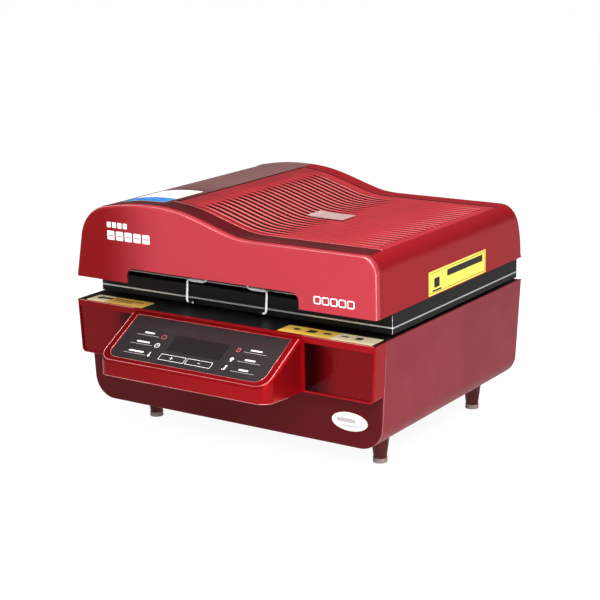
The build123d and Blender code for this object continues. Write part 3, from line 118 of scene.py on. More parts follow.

# labels and badge
LEDGE_LABEL_Y = (-199.5, -162.5)
LEDGE_PRINTS = (  # name, x span, finish
    ("ledge_cream_left", (-284, -246), "cream"), ("ledge_gold_left", (-245.6, -163), "gold"),
    ("ledge_gold_right", (115, 214.6), "amber"), ("ledge_cream_right", (215, 291), "cream"))
OVAL_X, OVAL_Z = 235, 97
OVAL_R = (33.1, 15.3)            # half width and half height of its white
CREST_LABEL_X, CREST_LABEL_Y = (-222, -134), (-164, -54)
CREST_BLUE_Y, CREST_WHITE_Y = -128, -127.6       # where the blue field ends and the white one starts
STRIP_COUNT = 12                 # a field on the curved crest is laid in strips
SIDE_LABEL_Y, SIDE_LABEL_Z = (-35, 159), (283, 317)

# base
SIDE_ROUND = (253.0, 94.5)       # x, z of the middle of the side's lower round
SIDE_FRONT_Y = -170.0
SEAM_Y, SEAM_Z = -172.0, (150, 235)      # the shadow line behind the housing
HOUSING_EDGE_Y, HOUSING_EDGE_Z = -203.0, 236.5
HOUSING_HALF_W, HOUSING_TAPER = 299.2, 4.4       # half width near its top, and how much it comes in
HOUSING_SIDE_TOP_Z, HOUSING_SIDE_H = 234.0, 81.0
RAIL_CORNER_X, RAIL_CORNER_Y = 294.9, -142.4     # front corners of the two rails
RAIL_CORNER_Z = (241.5, 250, 272)


def linear(hex_colour):
    """An sRGB hex value as linear red, green, blue and alpha."""
    parts = [int(hex_colour[i:i + 2], 16) / 255 for i in (1, 3, 5)]
    return [c / 12.92 if c <= 0.04045 else ((c + 0.055) / 1.055) ** 2.4 for c in parts] + [1.0]


# ---------------------------------------------------------------- material helpers
MIX_A, MIX_B = 6, 7              # colour sockets of a Mix node
PATCHES = 0.35, 0.65             # where the dark and the light tone of a patch are pure
DRIFT, MOTTLE = 0.10, 0.06       # how much noise moves a colour along its turn, or along the ribs' ramp


def add(tree, kind, settings=None, inputs=None, links=None):
    """Adds a node, sets its properties and its sockets, and links other sockets into it."""
    node = tree.nodes.new(kind)
    for key, value in (settings or {}).items():
        setattr(node, key, value)
    for key, value in (inputs or {}).items():
        node.inputs[key].default_value = value
    for key, source in (links or {}).items():
        tree.links.new(source, node.inputs[key])
    return node


def surface(name, **values):
    """A new material with its shader; the values go straight to the shader's sockets."""
    material = bpy.data.materials.new(name)
    material.use_nodes = True
    tree = material.node_tree
    shader = tree.nodes["Principled BSDF"]
    for key, value in values.items():
        shader.inputs[key.replace("_", " ")].default_value = value
    place = add(tree, "ShaderNodeTexCoord").outputs["Object"]
    return material, tree, shader, place


def two_tone(tree, shader, place, dark, light, size_mm, detail=3.0, stretch=(1, 1, 1)):
    """Soft colour variation between two close tones, with patches of a real size."""
    mapped = add(tree, "ShaderNodeMapping", inputs={"Scale": stretch}, links={"Vector": place})
    noise = add(tree, "ShaderNodeTexNoise", inputs={"Scale": 1000 / size_mm, "Detail": detail},
                links={"Vector": mapped.outputs["Vector"]})
    ramp = add(tree, "ShaderNodeValToRGB", links={"Fac": noise.outputs["Fac"]})
    for stop, place_on_ramp, colour in zip(ramp.color_ramp.elements, PATCHES, (dark, light)):
        stop.position, stop.color = place_on_ramp, linear(colour)
    tree.links.new(ramp.outputs["Color"], shader.inputs["Base Color"])
    return noise


def grain(tree, shader, place, size_mm, height_mm, stretch=(1, 1, 1), rough=None):
    """Fine relief of a real grain size, and roughness that varies with it."""
    mapped = add(tree, "ShaderNodeMapping", inputs={"Scale": stretch}, links={"Vector": place})
    noise = add(tree, "ShaderNodeTexNoise", inputs={"Scale": 1000 / size_mm, "Detail": 2.0},
                links={"Vector": mapped.outputs["Vector"]})
    bump = add(tree, "ShaderNodeBump", inputs={"Strength": 1.0, "Distance": height_mm * MM},
               links={"Height": noise.outputs["Fac"]})
    tree.links.new(bump.outputs["Normal"], shader.inputs["Normal"])
    if rough:
        spread = add(tree, "ShaderNodeMapRange", inputs={"To Min": rough[0], "To Max": rough[1]},
                     links={"Value": noise.outputs["Fac"]})
        tree.links.new(spread.outputs["Result"], shader.inputs["Roughness"])
    return bump


def across(tree, place, span, near, far, size_mm, axis="X", both_ways=False):
    """A colour that turns unevenly from one to another along an axis, or from the middle both ways."""
    parts = add(tree, "ShaderNodeSeparateXYZ", links={"Vector": place})
    way = parts.outputs[axis]
    if both_ways:
        way = add(tree, "ShaderNodeMath", {"operation": "ABSOLUTE"}, links={0: way}).outputs["Value"]
    turn = add(tree, "ShaderNodeMapRange", {"interpolation_type": "SMOOTHSTEP"},
               {"From Min": span[0] * MM, "From Max": span[1] * MM}, {"Value": way})
    cloud = add(tree, "ShaderNodeTexNoise", inputs={"Scale": 1000 / size_mm, "Detail": 3.0},
                links={"Vector": place})
    drift = add(tree, "ShaderNodeMath", {"operation": "MULTIPLY_ADD"}, {1: DRIFT, 2: -DRIFT / 2},
                {0: cloud.outputs["Fac"]})
    total = add(tree, "ShaderNodeMath", {"operation": "ADD", "use_clamp": True}, None,
                {0: turn.outputs["Result"], 1: drift.outputs["Value"]})
    blend = add(tree, "ShaderNodeMix", {"data_type": "RGBA"}, {MIX_B: linear(far)},
                {0: total.outputs["Value"]})
    if isinstance(near, str):
        blend.inputs[MIX_A].default_value = linear(near)
    else:
        tree.links.new(near, blend.inputs[MIX_A])
    return blend.outputs[2]


# ---------------------------------------------------------------- finishes
# Each finish gives its two tones with the size of their patches, and then the size and height of its
# grain, all in millimetres. Red paint over flake stays partly metallic, and a clear coat lies on gloss.
def metallic_paint():
    """Stove enamel with fine aluminium flake on steel: a deep satin red with a faint sparkle."""
    m, t, s, p = surface("metallic_red_paint", Metallic=0.55, Roughness=0.40, Specular_IOR_Level=0.2,
                         Coat_Weight=0.08, Coat_Roughness=0.25)
    two_tone(t, s, p, "#96323B", "#A03A43", 70)
    grain(t, s, p, 0.8, 0.010, rough=(0.36, 0.46))
    return m


def lid_paint():
    """The same enamel on the lid, red, with painted shade on top of the crest: dark brown at its front, paler
    pink-brown towards its rear.
    """
    m, t, s, p = surface("lid_red_paint", Metallic=0.6, Roughness=0.36, Specular_IOR_Level=0.2,
                         Coat_Weight=0.08, Coat_Roughness=0.15)
    # Painted shade on the crest's top, left of the insert only: dark brown at the front, paler pink-brown at
    # the rear.
    crest = across(t, p, (-190, 60), "#5C2A2C", "#9A6C6A", 60, axis="Y")
    top = across(t, p, (CREST_TOP_Z, CREST_FOOT_Z), crest, "#AC1A23", 60, axis="Z")
    tone = across(t, p, (CREST_EDGE_X - 2, CREST_EDGE_X), top, "#AC1A23", 80)
    t.links.new(tone, s.inputs["Base Color"])
    grain(t, s, p, 0.8, 0.008, rough=(0.32, 0.42))
    return m


def candy_lacquer():
    """ABS moulding of the fascia under candy lacquer, with painted shade that darkens it towards its left
    end.
    """
    m, t, s, p = surface("candy_red_lacquer", Metallic=0.6, Roughness=0.36, Specular_IOR_Level=0.2,
                         Coat_Weight=0.10, Coat_Roughness=0.12)
    # Painted shade: dark red at the left end, turning to bright red from x = -100 on.
    t.links.new(across(t, p, (-250, -100), "#960A12", "#D24450", 60), s.inputs["Base Color"])
    grain(t, s, p, 0.9, 0.010, stretch=(1, 1, 0.25), rough=(0.32, 0.42))
    return m


def lacquered_moulding():
    """ABS moulding under candy-red lacquer: clear, wet gloss over a bright ground, with painted shade towards
    its left end.
    """
    m, t, s, p = surface("lacquered_red_abs", Metallic=0.7, Roughness=0.26, Specular_IOR_Level=0.2,
                         Coat_Weight=0.15, Coat_Roughness=0.05)
    # Painted shade: darker red towards the left end, brighter towards the right.
    t.links.new(across(t, p, (-250, 150), "#8A0A11", "#B2121A", 120), s.inputs["Base Color"])
    grain(t, s, p, 1.2, 0.006, rough=(0.20, 0.28))
    return m


def ribbed_lacquer():
    """The ribbed insert's lacquer: painted shade, almost black, in the grooves, and a pale painted highlight
    along the ridges.
    """
    m, t, s, p = surface("ribbed_red_lacquer", Metallic=0.5, Roughness=0.32, Specular_IOR_Level=0.2,
                         Coat_Weight=0.1, Coat_Roughness=0.10)
    height = add(t, "ShaderNodeAttribute", {"attribute_name": "relief"})
    mottle = add(t, "ShaderNodeTexNoise", inputs={"Scale": 1000 / 40, "Detail": 2.0}, links={"Vector": p})
    shift = add(t, "ShaderNodeMath", {"operation": "MULTIPLY_ADD"}, {1: MOTTLE, 2: -MOTTLE / 2},
                {0: mottle.outputs["Fac"]})
    mixed = add(t, "ShaderNodeMath", {"operation": "ADD"}, None,
                {0: height.outputs["Fac"], 1: shift.outputs["Value"]})
    ramp = add(t, "ShaderNodeValToRGB", links={"Fac": mixed.outputs["Value"]})
    # Ramp: painted groove shade, almost black; the lacquer's own reds; painted ridge highlight, pale pink.
    colours = ((0.0, "#080102"), (0.46, "#1E0305"), (0.59, "#C8343C"), (0.72, "#CE3A42"), (1.0, "#E89C98"))
    stops = ramp.color_ramp.elements
    while len(stops) < len(colours):
        stops.new(0.5)
    for stop, (place, colour) in zip(stops, colours):
        stop.position, stop.color = place, linear(colour)
    t.links.new(ramp.outputs["Color"], s.inputs["Base Color"])
    grain(t, s, p, 0.9, 0.006, rough=(0.26, 0.34))
    return m


def cove_shade_lacquer():
    """The cove round the ribbed insert: the same lacquer, darker, as painted shade."""
    m, t, s, p = surface("painted_shade_cove_lacquer", Metallic=0.6, Roughness=0.30, Specular_IOR_Level=0.2,
                         Coat_Weight=0.15, Coat_Roughness=0.06)
    two_tone(t, s, p, "#5E080D", "#740E14", 70)
    grain(t, s, p, 1.2, 0.004, rough=(0.24, 0.34))
    return m


def painted_highlight_lacquer():
    """Pale pink lacquer for the beads along moulded edges: a painted highlight."""
    m, t, s, p = surface("painted_highlight_edge_lacquer", Metallic=0.55, Roughness=0.22, Coat_Weight=0.5,
                         Coat_Roughness=0.05)
    # Painted highlight: pale pink, brighter than any red round it.
    two_tone(t, s, p, "#E28486", "#F2A8A6", 35)
    grain(t, s, p, 0.8, 0.004)
    return m


def dark_moulding():
    """ABS moulding in a deeper red lacquer."""
    m, t, s, p = surface("dark_red_abs", Metallic=0.55, Roughness=0.36, Specular_IOR_Level=0.2,
                         Coat_Weight=0.08, Coat_Roughness=0.15)
    two_tone(t, s, p, "#5C1116", "#66151A", 110)
    grain(t, s, p, 1.2, 0.008, rough=(0.32, 0.40))
    return m


def window_gloss():
    """Clear acrylic back-painted deep red: black-cherry gloss, deeper where the console shades it."""
    m, t, s, p = surface("back_painted_acrylic", Metallic=0.5, Roughness=0.14, Specular_IOR_Level=0.2,
                         Coat_Weight=0.12, Coat_Roughness=0.03)
    t.links.new(across(t, p, (180, 235), "#200204", "#780A11", 150, both_ways=True), s.inputs["Base Color"])
    grain(t, s, p, 2.0, 0.003)
    return m


def powder_coat():
    """Polyester powder coat on steel: near black, with a fine orange peel."""
    m, t, s, p = surface("black_powder_coat", Roughness=0.42, Specular_IOR_Level=0.25)
    two_tone(t, s, p, "#0A0A0C", "#101012", 40)
    grain(t, s, p, 0.8, 0.02, rough=(0.34, 0.50))
    return m


def black_sheet():
    """Matte black coated sheet of the inner faces."""
    m, t, s, p = surface("black_coated_sheet", Roughness=0.6, Specular_IOR_Level=0.2)
    two_tone(t, s, p, "#0C0C0D", "#131314", 40)
    grain(t, s, p, 1.0, 0.02, rough=(0.5, 0.65))
    return m


def bright_wire():
    """Hard-drawn stainless wire, bright: drawing lines along it break up the highlight."""
    m, t, s, p = surface("drawn_stainless_wire", Metallic=0.2, Roughness=0.3)
    two_tone(t, s, p, "#F0F0F2", "#FAFAFC", 3)
    grain(t, s, p, 0.6, 0.006, rough=(0.14, 0.26))
    return m


def anodised_aluminium():
    """Clear anodised aluminium extrusion: fine lines along its length."""
    m, t, s, p = surface("anodised_aluminium", Metallic=0.9, Roughness=0.3)
    two_tone(t, s, p, "#D6D8DC", "#E4E6E8", 12)
    grain(t, s, p, 0.5, 0.008, rough=(0.24, 0.36))
    return m


def badge_foil():
    """Satin silver foil of the badge, with a pink tint painted in as the reflection of the red round it."""
    m, t, s, p = surface("satin_badge_foil", Metallic=0.6, Roughness=0.35)
    two_tone(t, s, p, "#D9B4B4", "#E6C8C6", 14)
    grain(t, s, p, 0.5, 0.006, stretch=(0.1, 1, 1), rough=(0.3, 0.42))
    return m


def brushed_stainless():
    """Cold-rolled stainless sheet, brushed along X."""
    m, t, s, p = surface("brushed_stainless", Metallic=1.0, Roughness=0.32)
    two_tone(t, s, p, "#A9A7A4", "#BAB8B5", 60)
    grain(t, s, p, 0.8, 0.01, stretch=(0.03, 1, 1), rough=(0.26, 0.42))
    return m


def zinc_plate():
    """Bright zinc-plated steel with its faint spangle."""
    m, t, s, p = surface("zinc_plated_steel", Metallic=1.0, Roughness=0.35)
    two_tone(t, s, p, "#9DA0A3", "#B4B6B8", 8)
    grain(t, s, p, 1.0, 0.01, rough=(0.28, 0.45))
    return m


def cast_aluminium():
    """Die-cast aluminium, shot-blasted."""
    m, t, s, p = surface("cast_aluminium", Metallic=1.0, Roughness=0.5)
    two_tone(t, s, p, "#9A9B9C", "#ABACAD", 10)
    grain(t, s, p, 0.7, 0.05, rough=(0.42, 0.6))
    return m


def turned_brass():
    """Turned brass with fine tool lines round it."""
    m, t, s, p = surface("turned_brass", Metallic=1.0, Roughness=0.28)
    two_tone(t, s, p, "#B8923E", "#C7A24C", 9)
    grain(t, s, p, 0.5, 0.01, stretch=(1, 1, 6), rough=(0.2, 0.34))
    return m


def printed_acrylic():
    """The overlay: acrylic printed charcoal on its back, so the colour lies under a clear gloss."""
    m, t, s, p = surface("back_printed_acrylic", Roughness=0.38, Coat_Weight=0.5, Coat_Roughness=0.12)
    two_tone(t, s, p, "#1F1A1C", "#231E20", 60)
    grain(t, s, p, 0.9, 0.006, rough=(0.34, 0.42))
    return m


def smoked_acrylic():
    """The unlit display's window: smoked, almost black."""
    m, t, s, p = surface("smoked_acrylic", Roughness=0.2, Coat_Weight=0.5, Coat_Roughness=0.05)
    two_tone(t, s, p, "#1A1618", "#1D191B", 80)
    grain(t, s, p, 1.5, 0.003)
    return m


def moulded_black():
    """Black polyamide with a fine spark-eroded texture."""
    m, t, s, p = surface("moulded_black_polyamide", Roughness=0.5)
    two_tone(t, s, p, "#17171A", "#1F1F22", 15)
    grain(t, s, p, 0.6, 0.03, rough=(0.42, 0.58))
    return m


def foot_plastic():
    """Red-brown moulded foot with a satin skin."""
    m, t, s, p = surface("brown_moulded_abs", Roughness=0.36, Specular_IOR_Level=0.3)
    two_tone(t, s, p, "#4C1212", "#581817", 20)
    grain(t, s, p, 1.0, 0.015, rough=(0.3, 0.42))
    return m


def pad_rubber():
    """Pale grey-pink rubber of the foot pads, matte and a little dusty."""
    m, t, s, p = surface("pale_foot_rubber", Roughness=0.75)
    two_tone(t, s, p, "#9A8682", "#AB9892", 6)
    grain(t, s, p, 0.5, 0.05)
    return m


def black_rubber():
    """Black nitrile rubber."""
    m, t, s, p = surface("black_nitrile_rubber", Roughness=0.7)
    two_tone(t, s, p, "#1A1A1A", "#222222", 8)
    grain(t, s, p, 0.6, 0.04)
    return m


def silicone():
    """Calendered silicone sheet, red-brown, with a soft sheen and a little light in it."""
    m, t, s, p = surface("red_brown_silicone", Roughness=0.45, Subsurface_Weight=0.15)
    s.inputs["Subsurface Radius"].default_value = (0.004, 0.0015, 0.001)
    two_tone(t, s, p, "#8C3A2C", "#9A4434", 25)
    grain(t, s, p, 0.9, 0.03, rough=(0.38, 0.5))
    return m


def mineral_wool():
    """Needled mineral wool: short pale fibres."""
    m, t, s, p = surface("mineral_wool", Roughness=0.95, Sheen_Weight=0.3)
    two_tone(t, s, p, "#B9A86F", "#D2C592", 5, detail=6)
    grain(t, s, p, 1.4, 0.6, stretch=(1, 0.3, 1))
    return m


def circuit_board():
    """Green solder mask, with the copper tracks just showing under it."""
    m, t, s, p = surface("green_solder_mask", Roughness=0.4, Coat_Weight=0.4)
    two_tone(t, s, p, "#0F4A24", "#1B6434", 4, detail=1)
    grain(t, s, p, 2.0, 0.03, stretch=(1, 0.2, 1))
    return m


def vinyl(name, dark, light):
    """Printed vinyl film with a thin gloss laminate."""
    m, t, s, p = surface(name, Roughness=0.42, Coat_Weight=0.25, Coat_Roughness=0.15)
    two_tone(t, s, p, dark, light, 30)
    grain(t, s, p, 1.2, 0.01, rough=(0.36, 0.46))
    return m


def ink(name, dark, light):
    """Screen-print ink: flat colour with the slight mottle of the mesh."""
    m, t, s, p = surface(name, Roughness=0.5)
    two_tone(t, s, p, dark, light, 1.5)
    grain(t, s, p, 0.5, 0.005)
    return m


def rocker_red():
    """Translucent red rocker, moulded in polycarbonate."""
    m, t, s, p = surface("red_polycarbonate", Roughness=0.25, Subsurface_Weight=0.2)
    two_tone(t, s, p, "#B3121A", "#C01A20", 5)
    grain(t, s, p, 0.8, 0.01)
    return m


FINISH = {
    "paint": metallic_paint(), "lid": lid_paint(), "candy": candy_lacquer(), "lacquer": lacquered_moulding(),
    "ribbed": ribbed_lacquer(), "cove": cove_shade_lacquer(), "edge": painted_highlight_lacquer(), "dark": dark_moulding(),
    "window": window_gloss(), "powder": powder_coat(), "black_sheet": black_sheet(), "wire": bright_wire(),
    "anodised": anodised_aluminium(), "badge": badge_foil(), "stainless": brushed_stainless(),
    "zinc": zinc_plate(), "cast": cast_aluminium(), "brass": turned_brass(), "overlay": printed_acrylic(),
    "smoked": smoked_acrylic(), "black": moulded_black(), "foot": foot_plastic(), "pad": pad_rubber(),
    "rubber": black_rubber(), "silicone": silicone(), "wool": mineral_wool(), "board": circuit_board(),
    "rocker": rocker_red(),
    "yellow": vinyl("yellow_vinyl", "#F0DC50", "#F6E45C"),
    "gold": vinyl("gold_vinyl", "#E0A83C", "#EAB448"),
    "amber": vinyl("amber_vinyl", "#FFC84C", "#FFD45C"),
    "cream": vinyl("cream_vinyl", "#FBE8B8", "#FFF0C8"),
    "white": vinyl("white_vinyl", "#ECEAE6", "#F4F2EE"),
    "blue": vinyl("blue_vinyl", "#2A6DB8", "#3580CC"),
    "white_ink": ink("white_ink", "#ECEAE8", "#F6F4F2"),
    "grey_ink": ink("grey_ink", "#A8A2A4", "#B6B0B2"),
    "red_ink": ink("red_ink", "#B8505A", "#C45C66"),
    "dark_ink": ink("dark_ink", "#1C1A1A", "#242222"),
}
NODE_FINISH = {
    "paint": ["left_side_panel", "right_side_panel", "rear_panel"], "lid": ["lid_shell"],
    "candy": ["lid_fascia"], "lacquer": ["control_housing", "console_bezel"],
    "dark": ["lower_front_panel"], "window": ["housing_windows"],
    "powder": ["top_deck", "frame_lower_rail", "frame_upper_rail", "frame_hinge_leaves"],
    "black_sheet": ["bottom_plate", "front_baffle"],
    "wire": ["bail_handle", "bail_sleeves", "hinge_pins", "fan_guard", "impeller_shaft"],
    "anodised": ["frame_edge_trim", "perforated_platen", "circulation_impeller"], "badge": ["badge_plate"],
    "stainless": ["vacuum_tray", "oven_chamber", "tray_heater", "oven_heaters", "lid_thermocouple"],
    "zinc": ["heat_shield", "heater_clamps", "case_screws", "base_hinge_brackets", "frame_screws",
             "circulation_motor", "lid_hinge_arms"],
    "cast": ["vacuum_pump"], "brass": ["tray_port", "release_valve"], "overlay": ["control_overlay"],
    "smoked": ["display_window"],
    "black": ["mains_inlet", "switch_body", "fuse_holder", "fan_frame", "fan_rotor"],
    "foot": ["feet"], "pad": ["foot_pads"], "rubber": ["pump_mounts"],
    "silicone": ["silicone_membrane", "tray_gasket", "vacuum_hose"],
    "wool": ["base_insulation", "lid_insulation"], "board": ["control_board", "power_board"],
    "rocker": ["switch_rocker"], "yellow": ["base_labels", "lid_labels"], "ribbed": ["ribbed_panel"],
}


def paint_nodes():
    """Gives every CAD node its finish."""
    for finish, names in NODE_FINISH.items():
        for name in names:
            node = NODES[name]
            if not node.material_slots:
                node.data.materials.append(FINISH[finish])
            for spot in node.material_slots:
                spot.link = "DATA"
                spot.material = FINISH[finish]
    left = set(NODES) - {n for names in NODE_FINISH.values() for n in names}
    assert not left, left


# ---------------------------------------------------------------- mesh helpers
def show(name, mesh, finish, body):
    """A new piece from a mesh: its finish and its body."""
    thing = bpy.data.objects.new(name, mesh)
    bpy.context.scene.collection.objects.link(thing)
    mesh.materials.append(FINISH[finish])
    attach(thing, body)
    return thing


def smooth_mesh(name, points, faces):
    """A mesh from points in metres, shaded smooth."""
    mesh = bpy.data.meshes.new(name)
    mesh.from_pydata(points, [], faces)
    for face in mesh.polygons:
        face.use_smooth = True
    return mesh


def bar(u0, u1, v0, v1, r=0.6, steps=4):
    """A rounded rectangle, anticlockwise."""
    r = min(r, (u1 - u0) / 2, (v1 - v0) / 2)
    corners = ((u1 - r, v1 - r, 0), (u0 + r, v1 - r, 90), (u0 + r, v0 + r, 180), (u1 - r, v0 + r, 270))
    return [(u + r * cos(radians(start + 90 * k / steps)), v + r * sin(radians(start + 90 * k / steps)))
            for u, v, start in corners for k in range(steps + 1)]


def disc(u, v, half_w, half_h, steps=40):
    """An oval, anticlockwise."""
    turns = [2 * pi * k / steps for k in range(steps)]
    return [(u + half_w * cos(a), v + half_h * sin(a)) for a in turns]


def dot(u, v, r):
    """A small round spot."""
    return disc(u, v, r, r, 24)


def ring(u, v, r, line=1.0):
    """The outer and inner outline of a drawn circle."""
    return disc(u, v, r, r), disc(u, v, r - line, r - line)


def hollow(u0, u1, v0, v1, line, r=1.0, inner_r=None):
    """The outer and inner outline of a drawn frame."""
    inner_r = inner_r or max(r - line, 0.1)
    return bar(u0, u1, v0, v1, r), bar(u0 + line, u1 - line, v0 + line, v1 - line, inner_r)


def prints(name, shapes, place, finish, body, thick=PRINT_T):
    """Thin raised shapes on a face. place turns u, v and a height into x, y and z."""
    points, faces = [], []
    for shape in shapes:
        loops = shape if isinstance(shape, tuple) else (shape,)
        n = len(loops[0])
        start = len(points)
        for loop in loops:
            for height in (thick, 0.0):
                points += [Vector(place(u, v, height)) * MM for u, v in loop]
        around = [(k, (k + 1) % n) for k in range(n)]
        faces += [(start + i, start + n + i, start + n + j, start + j) for i, j in around]
        if len(loops) == 1:
            faces.append([start + k for k in range(n)])
            continue
        inner = start + 2 * n
        faces += [(start + i, start + j, inner + j, inner + i) for i, j in around]
        faces += [(inner + i, inner + j, inner + n + j, inner + n + i) for i, j in around]
    mesh = bpy.data.meshes.new(name)
    mesh.from_pydata(points, [], faces)
    return show(name, mesh, finish, body)


def bead(name, points, radius, finish, body, closed=False):
    """A round bead along points."""
    curve = bpy.data.curves.new(name, "CURVE")
    curve.dimensions = "3D"
    curve.bevel_depth, curve.bevel_resolution = radius * MM, 3
    spline = curve.splines.new("POLY")
    spline.points.add(len(points) - 1)
    for spot, point in zip(spline.points, points):
        spot.co = (*(Vector(point) * MM), 1)
    spline.use_cyclic_u = closed
    spline.use_smooth = True
    return show(name, curve, finish, body)


def ray_tree(node):
    """A node's faces, ready for rays."""
    mesh = NODES[node].data
    corners = [NODES[node].matrix_world @ v.co for v in mesh.vertices]
    return BVHTree.FromPolygons(corners, [tuple(p.vertices) for p in mesh.polygons])


def span_of(node):
    """A node's lower and upper corners in millimetres."""
    low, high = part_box(node)
    return [c / MM for c in low], [c / MM for c in high]


def inside(value, span, inset):
    """A value kept inside a span, away from its ends."""
    return min(max(value, span[0] + inset), span[1] - inset)


def top_of(tree, x, y):
    """Height of a node's top at a place, in millimetres."""
    hit = tree.ray_cast(Vector((x * MM, y * MM, 1)), Vector((0, 0, -1)))[0]
    return hit.z / MM


def outline_hits(tree, y, centre, angles, radius=500):
    """Points on a node's outside round a centre in the XZ plane, in millimetres."""
    hits = []
    for angle in angles:
        out = Vector((cos(radians(angle)), 0, sin(radians(angle))))
        start = Vector((centre[0], y, centre[1])) * MM + out * radius * MM
        hits.append(tree.ray_cast(start, -out)[0] / MM)
    return hits


def on_console(height):
    """Places a print on the slope: x, and millimetres down the slope, at a height over it."""
    run_y, run_z = (SLOPE_NOSE[0] - SLOPE_TOP[0]) / SLOPE_L, (SLOPE_NOSE[1] - SLOPE_TOP[1]) / SLOPE_L

    def place(x, down, lift):
        out = height + lift
        return x, SLOPE_TOP[0] + down * run_y + out * run_z, SLOPE_TOP[1] + down * run_z - out * run_y
    return place


def on_front(y):
    """Places a print on an upright front face: x and z."""
    def place(x, z, lift):
        return x, y - lift, z
    return place


def on_top(z):
    """Places a print on a level face: x and y."""
    def place(x, y, lift):
        return x, y, z + lift
    return place


# ---------------------------------------------------------------- ribbed insert
def smooth_step(value, start, end):
    """0 up to the start, 1 from the end on, and a smooth turn between them."""
    t = min(max((value - start) / (end - start), 0), 1)
    return t * t * (3 - 2 * t)


def rib_strength(x):
    """How deep the ribs are along their length: full on the slope, shallow on the flat, gone at both ends."""
    ends = smooth_step(x, *RIBS_START) * (1 - smooth_step(x, *RIBS_END))
    flat = smooth_step(x, *FLAT_START) * (1 - smooth_step(x, *FLAT_END))
    return ends * (1 - FLAT_LOSS * flat)


def rib_relief(y):
    """Cross profile of the ribs, from -1 in a groove to 1 on a ridge."""
    turn = (y - RIB_FIRST_Y) / RIB_PITCH
    last = RIB_COUNT - 0.5
    if turn < -0.5 or turn > last:
        return 0.0
    wave = (cos(2 * pi * turn) - RIB_BIAS) / (1 + RIB_BIAS)
    edge = smooth_step(turn, -0.5, -0.25) * (1 - smooth_step(turn, last - 0.25, last))
    return (wave if wave > 0 else -abs(wave) ** GROOVE_ROUND) * edge


def rib_tone(x, y, value):
    """Where the lacquer lies on its colour ramp: painted shade in the grooves and painted highlight on the
    ridges, gentler on the flat, and darker on the slope's margins.
    """
    ground = PLAIN_TONE - LEFT_DARK * (1 - smooth_step(x, *LEFT_MARGIN))
    if y < RIB_FIRST_Y - RIB_PITCH / 2:
        ground -= FRONT_DARK * (1 - smooth_step(x, *FRONT_MARGIN))
    if value > 0:
        return ground + (1 - PLAIN_TONE) * value ** RIDGE_SPREAD
    return ground + PLAIN_TONE * value * rib_strength(x) * (1 - RIGHT_PALE * smooth_step(x, *RIGHT_END))


def ribbed_insert():
    """The insert with rounded ribs that run across it and fade into its surface."""
    (x0, y0, _), (x1, y1, _) = span_of("ribbed_panel")
    tree = ray_tree("ribbed_panel")
    columns, rows = INSERT_COLUMNS, INSERT_ROWS
    xs = [x0 + (x1 - x0) * k / columns for k in range(columns + 1)]
    ys = [y0 + (y1 - y0) * k / rows for k in range(rows + 1)]
    base = [top_of(tree, inside(x, (x0, x1), EDGE_INSET), y0 + 4) for x in xs]
    # relief holds each point's place on the colour ramp, carrying the painted groove shade and ridge
    # highlight.
    points, relief = [], []
    for j, y in enumerate(ys):
        for i, x in enumerate(xs):
            value = rib_relief(y) * rib_strength(x)
            on_rim = min(i, columns - i, j, rows - j) == 0
            lift = value * (RIB_RISE if value > 0 else RIB_DROP) - (INSERT_RIM_DROP if on_rim else 0)
            points.append(Vector((x, y, base[i] + lift)) * MM)
            relief.append(rib_tone(x, y, value))
    wide = columns + 1
    faces = [(j * wide + i, j * wide + i + 1, (j + 1) * wide + i + 1, (j + 1) * wide + i)
             for j in range(rows) for i in range(columns)]
    rim = list(range(wide)) + [j * wide + columns for j in range(1, rows + 1)]
    rim += [rows * wide + i for i in reversed(range(columns))]
    rim += [j * wide for j in reversed(range(1, rows))]
    start = len(points)
    points += [points[k] - Vector((0, 0, INSERT_SKIRT * MM)) for k in rim]
    relief += [SKIRT_TONE] * len(rim)
    faces += [(rim[k], start + k, start + (k + 1) % len(rim), rim[(k + 1) % len(rim)])
              for k in range(len(rim))]
    mesh = smooth_mesh("ribbed_insert", points, faces)
    mesh.attributes.new("relief", "FLOAT", "POINT").data.foreach_set("value", relief)
    insert = show("ribbed_insert", mesh, "ribbed", "lid")
    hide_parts("ribbed_panel")


def cove():
    """The strip in front of the insert, darkened with painted shade, with a rounded lip whose bead carries a
    painted highlight, and the joint round the rest.
    """
    tree = ray_tree("lid_shell")
    (x0, y0, _), (x1, y1, _) = span_of("ribbed_panel")
    x0, y0, x1, y1 = x0 - 1, y0 - 1, x1 + 1, y1 + 1
    xs = [x0 + (x1 - x0) * k / COVE_STEPS for k in range(COVE_STEPS + 1)]
    points = []
    for x in xs:
        points += [Vector((x, y0 - d, top_of(tree, x, y0 - min(max(d, 1), COVE_REACH)) + h)) * MM
                   for d, h in COVE_PROFILE]
    n = len(COVE_PROFILE)
    faces = [(k * n + m, k * n + m + 1, (k + 1) * n + m + 1, (k + 1) * n + m)
             for k in range(COVE_STEPS) for m in range(n - 1)]
    show("front_cove", smooth_mesh("front_cove", points, faces), "cove", "lid")
    right, rear = x1 + 0.4, y1 + 0.4
    corner = [(right, y, top_of(tree, right + 2, 0)) for y in (y0 - 37, y0 + 60, rear - 60, rear)]
    back = [(x, rear, top_of(tree, x, rear + 2)) for x in reversed(xs[1:])]
    bead("insert_joint", corner + back, 0.6, "black_sheet", "lid")
    lip = [(x, y0 - 1.4, top_of(tree, x, y0 - 3) + 0.45) for x in xs]
    bead("insert_front_lip", lip, 0.45, "edge", "lid")


def crest_seam():
    """The dark joint between the crest and the insert, carried on to the fascia."""
    tree = ray_tree("lid_shell")
    (_, y0, _), (_, y1, _) = span_of("lid_shell")
    front, rear = y0 + 1, y1 - 8
    ys = [front + (rear - front) * k / 40 for k in range(41)]
    points = [(CREST_EDGE_X - 1.2, y, top_of(tree, CREST_EDGE_X - 3, y) - 0.25) for y in ys]
    bead("crest_seam", points, 0.55, "black_sheet", "lid")


